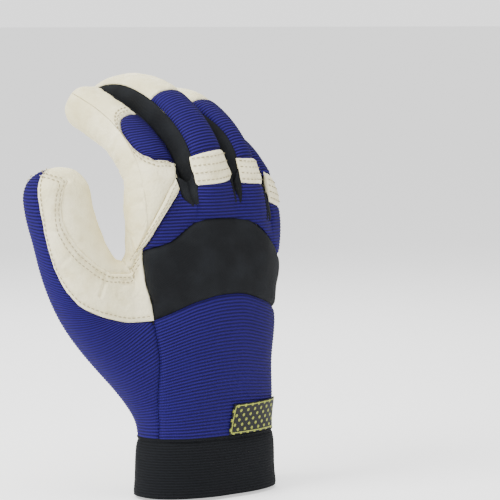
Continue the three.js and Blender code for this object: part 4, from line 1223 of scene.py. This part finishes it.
def add_stitches(name, rows, material, **shape):
    """One object that holds several rows of stitches."""
    v, f, t, start = [], [], [], 0
    for dots, outs in rows:
        a, b, c = stitch_row(dots, outs, **shape)
        v.append(a)
        f.append(b + start)
        t.append(c + start)
        start += len(a)
    v, f, t = np.vstack(v) * MM, np.vstack(f), np.vstack(t)
    mesh = bpy.data.meshes.new(name)
    mesh.from_pydata(v, [], f.tolist() + t.tolist())
    mesh.update()
    bm = bmesh.new()
    bm.from_mesh(mesh)
    bmesh.ops.recalc_face_normals(bm, faces=bm.faces)
    bm.to_mesh(mesh)
    bm.free()
    mesh.polygons.foreach_set("use_smooth", np.ones(len(mesh.polygons), bool))
    piece = bpy.data.objects.new(name, mesh)
    bpy.context.scene.collection.objects.link(piece)
    mesh.materials.append(material)
    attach(piece, "root")
    print(name, len(v) // CORNERS, "stitches")


# %% Where they run
# Each row: its panel, the side it follows and how far in, where it starts and stops as shares of
# that side, and how far above the skin it lies.
add_stitches("saddle_stitches", [
    row_at(saddle_grid, "r", 2.6, 0.0, 0.97, 1.0), row_at(saddle_grid, "r", 5.4, 0.0, 0.93, 1.1),
    row_at(saddle_grid, "l", 2.0, 0.02, 0.98, 0.8)], thread)
add_stitches("hem_stitches", [
    row_at(hem_grid, "l", 1.2, 0.0, 0.98, 1.95), row_at(hem_grid, "r", 1.5, 0.03, 0.98, 1.95)], thread)
add_stitches("oval_stitches", [
    row_at(index_low_grid, "t", 2.0, 0.12, 0.9, 0.8), row_at(index_low_grid, "t", 4.4, 0.12, 0.9, 0.8),
    row_at(index_tip_grid, "b", 2.0, 0.0, 0.9, 0.8),
    row_at(index_tip_grid, "b", 4.4, 0.0, 0.9, 0.8)], thread)
for name, q in strip_grids.items():
    reach = q["side"][-1].mean()
    add_stitches("strip_stitches_" + name, [
        row_at(q, "l", reach * k, 0.05, 0.95, 1.05) for k in (0.14, 0.38, 0.62, 0.86)], thread)
add_stitches("palm_edge_stitches", [row_at(palm_grid, "r", 2.0, 0.02, 0.95, 0.8),
                                    row_at(thumb_front_grid, "r", 2.0, 0.05, 0.95, 0.8)], thread)
add_stitches("tab_stitches", [(dots + out * 1.15, out)], black_thread, pitch=2.2, long=1.6, thick=0.5)

# %% [markdown]
# ## Floor, light and camera
# A pale floor and broad soft lamps, as in a catalogue picture, and a long lens from the thumb's
# side of the hand's back. The floor glows a little and goes on to the horizon, because the edge of
# a smaller one would cut across the picture.

# %% Stage
FLOOR_WIDE, FLOOR_DOWN = 120, -0.0015
bpy.ops.mesh.primitive_plane_add(size=FLOOR_WIDE)
floor = bpy.context.object
floor.name = "floor"
floor.location.z = FLOOR_DOWN
paint = bpy.data.materials.new("pale paper")
paint.use_nodes = True
matt = paint.node_tree.nodes["Principled BSDF"].inputs
matt["Base Color"].default_value = (0.9, 0.9, 0.9, 1)
matt["Roughness"].default_value = 0.9
matt["Emission Color"].default_value = (1, 1, 1, 1)
matt["Emission Strength"].default_value = 0.75
floor.data.materials.append(paint)

# The camera sees a brighter sky than the one that lights the glove, so that it matches the floor.
LIT_BY, SEEN = 0.8, 1.8
world = bpy.context.scene.world or bpy.data.worlds.new("studio")
bpy.context.scene.world = world
world.use_nodes = True
sky = world.node_tree
sky.nodes["Background"].inputs["Color"].default_value = (1, 1, 1, 1)
path = sky.nodes.new("ShaderNodeLightPath")
span = sky.nodes.new("ShaderNodeMapRange")
span.inputs["To Min"].default_value = LIT_BY
span.inputs["To Max"].default_value = SEEN
sky.links.new(path.outputs["Is Camera Ray"], span.inputs["Value"])
sky.links.new(span.outputs["Result"], sky.nodes["Background"].inputs["Strength"])
print("floor", FLOOR_WIDE, "m wide")


# %% Lamps
MIDDLE = Vector((0, 0, 0.1))


def lamp(name, azimuth, elevation, far, size, power):
    """A square soft lamp that looks at the glove's middle. Angles are in degrees, azimuth from the
    back of the hand, distance and size in metres, and power in watts."""
    light = bpy.data.lights.new(name, "AREA")
    light.size, light.energy = size, power
    holder = bpy.data.objects.new(name, light)
    bpy.context.scene.collection.objects.link(holder)
    a, e = math.radians(azimuth), math.radians(elevation)
    back = Vector((math.sin(a) * math.cos(e), -math.cos(a) * math.cos(e), math.sin(e)))
    holder.location = MIDDLE + back * far
    holder.rotation_euler = back.to_track_quat("Z", "Y").to_euler()
    print(name, "lamp at", [round(c, 2) for c in holder.location])


lamp("key", -95, 45, 0.9, 0.4, 12)
lamp("fill", 25, 25, 1.0, 0.8, 2)
lamp("top", -30, 75, 0.9, 0.5, 6)
lamp("rim", 150, 40, 1.0, 0.5, 6)

# %% Camera
# The photograph's scale and the place of the wrist's centre in it set the lens and the shift.
SENSOR = 36
VIEW_TURN, VIEW_RISE, VIEW_FAR = math.radians(-40), math.radians(5), 1.3
PIXELS_PER_MM, PHOTO, WRIST_PIXEL = 2.03, 500, (205, 488)
back = Vector((math.sin(VIEW_TURN) * math.cos(VIEW_RISE), -math.cos(VIEW_TURN) * math.cos(VIEW_RISE),
               math.sin(VIEW_RISE)))
right = Vector((math.cos(VIEW_TURN), math.sin(VIEW_TURN), 0))
up = back.cross(right)
shift_right = (PHOTO / 2 - WRIST_PIXEL[0]) / PIXELS_PER_MM * MM
shift_up = (WRIST_PIXEL[1] - PHOTO / 2) / PIXELS_PER_MM * MM
lens = bpy.data.cameras.new("camera")
lens.sensor_width = SENSOR
lens.lens = SENSOR * VIEW_FAR / (PHOTO / PIXELS_PER_MM * MM)
camera = bpy.data.objects.new("camera", lens)
bpy.context.scene.collection.objects.link(camera)
spot = right * shift_right + up * shift_up + back * VIEW_FAR
camera.matrix_world = Matrix.Translation(spot) @ Matrix((right, up, back)).transposed().to_4x4()
bpy.context.scene.camera = camera

# %% The end
bpy.context.view_layer.update()
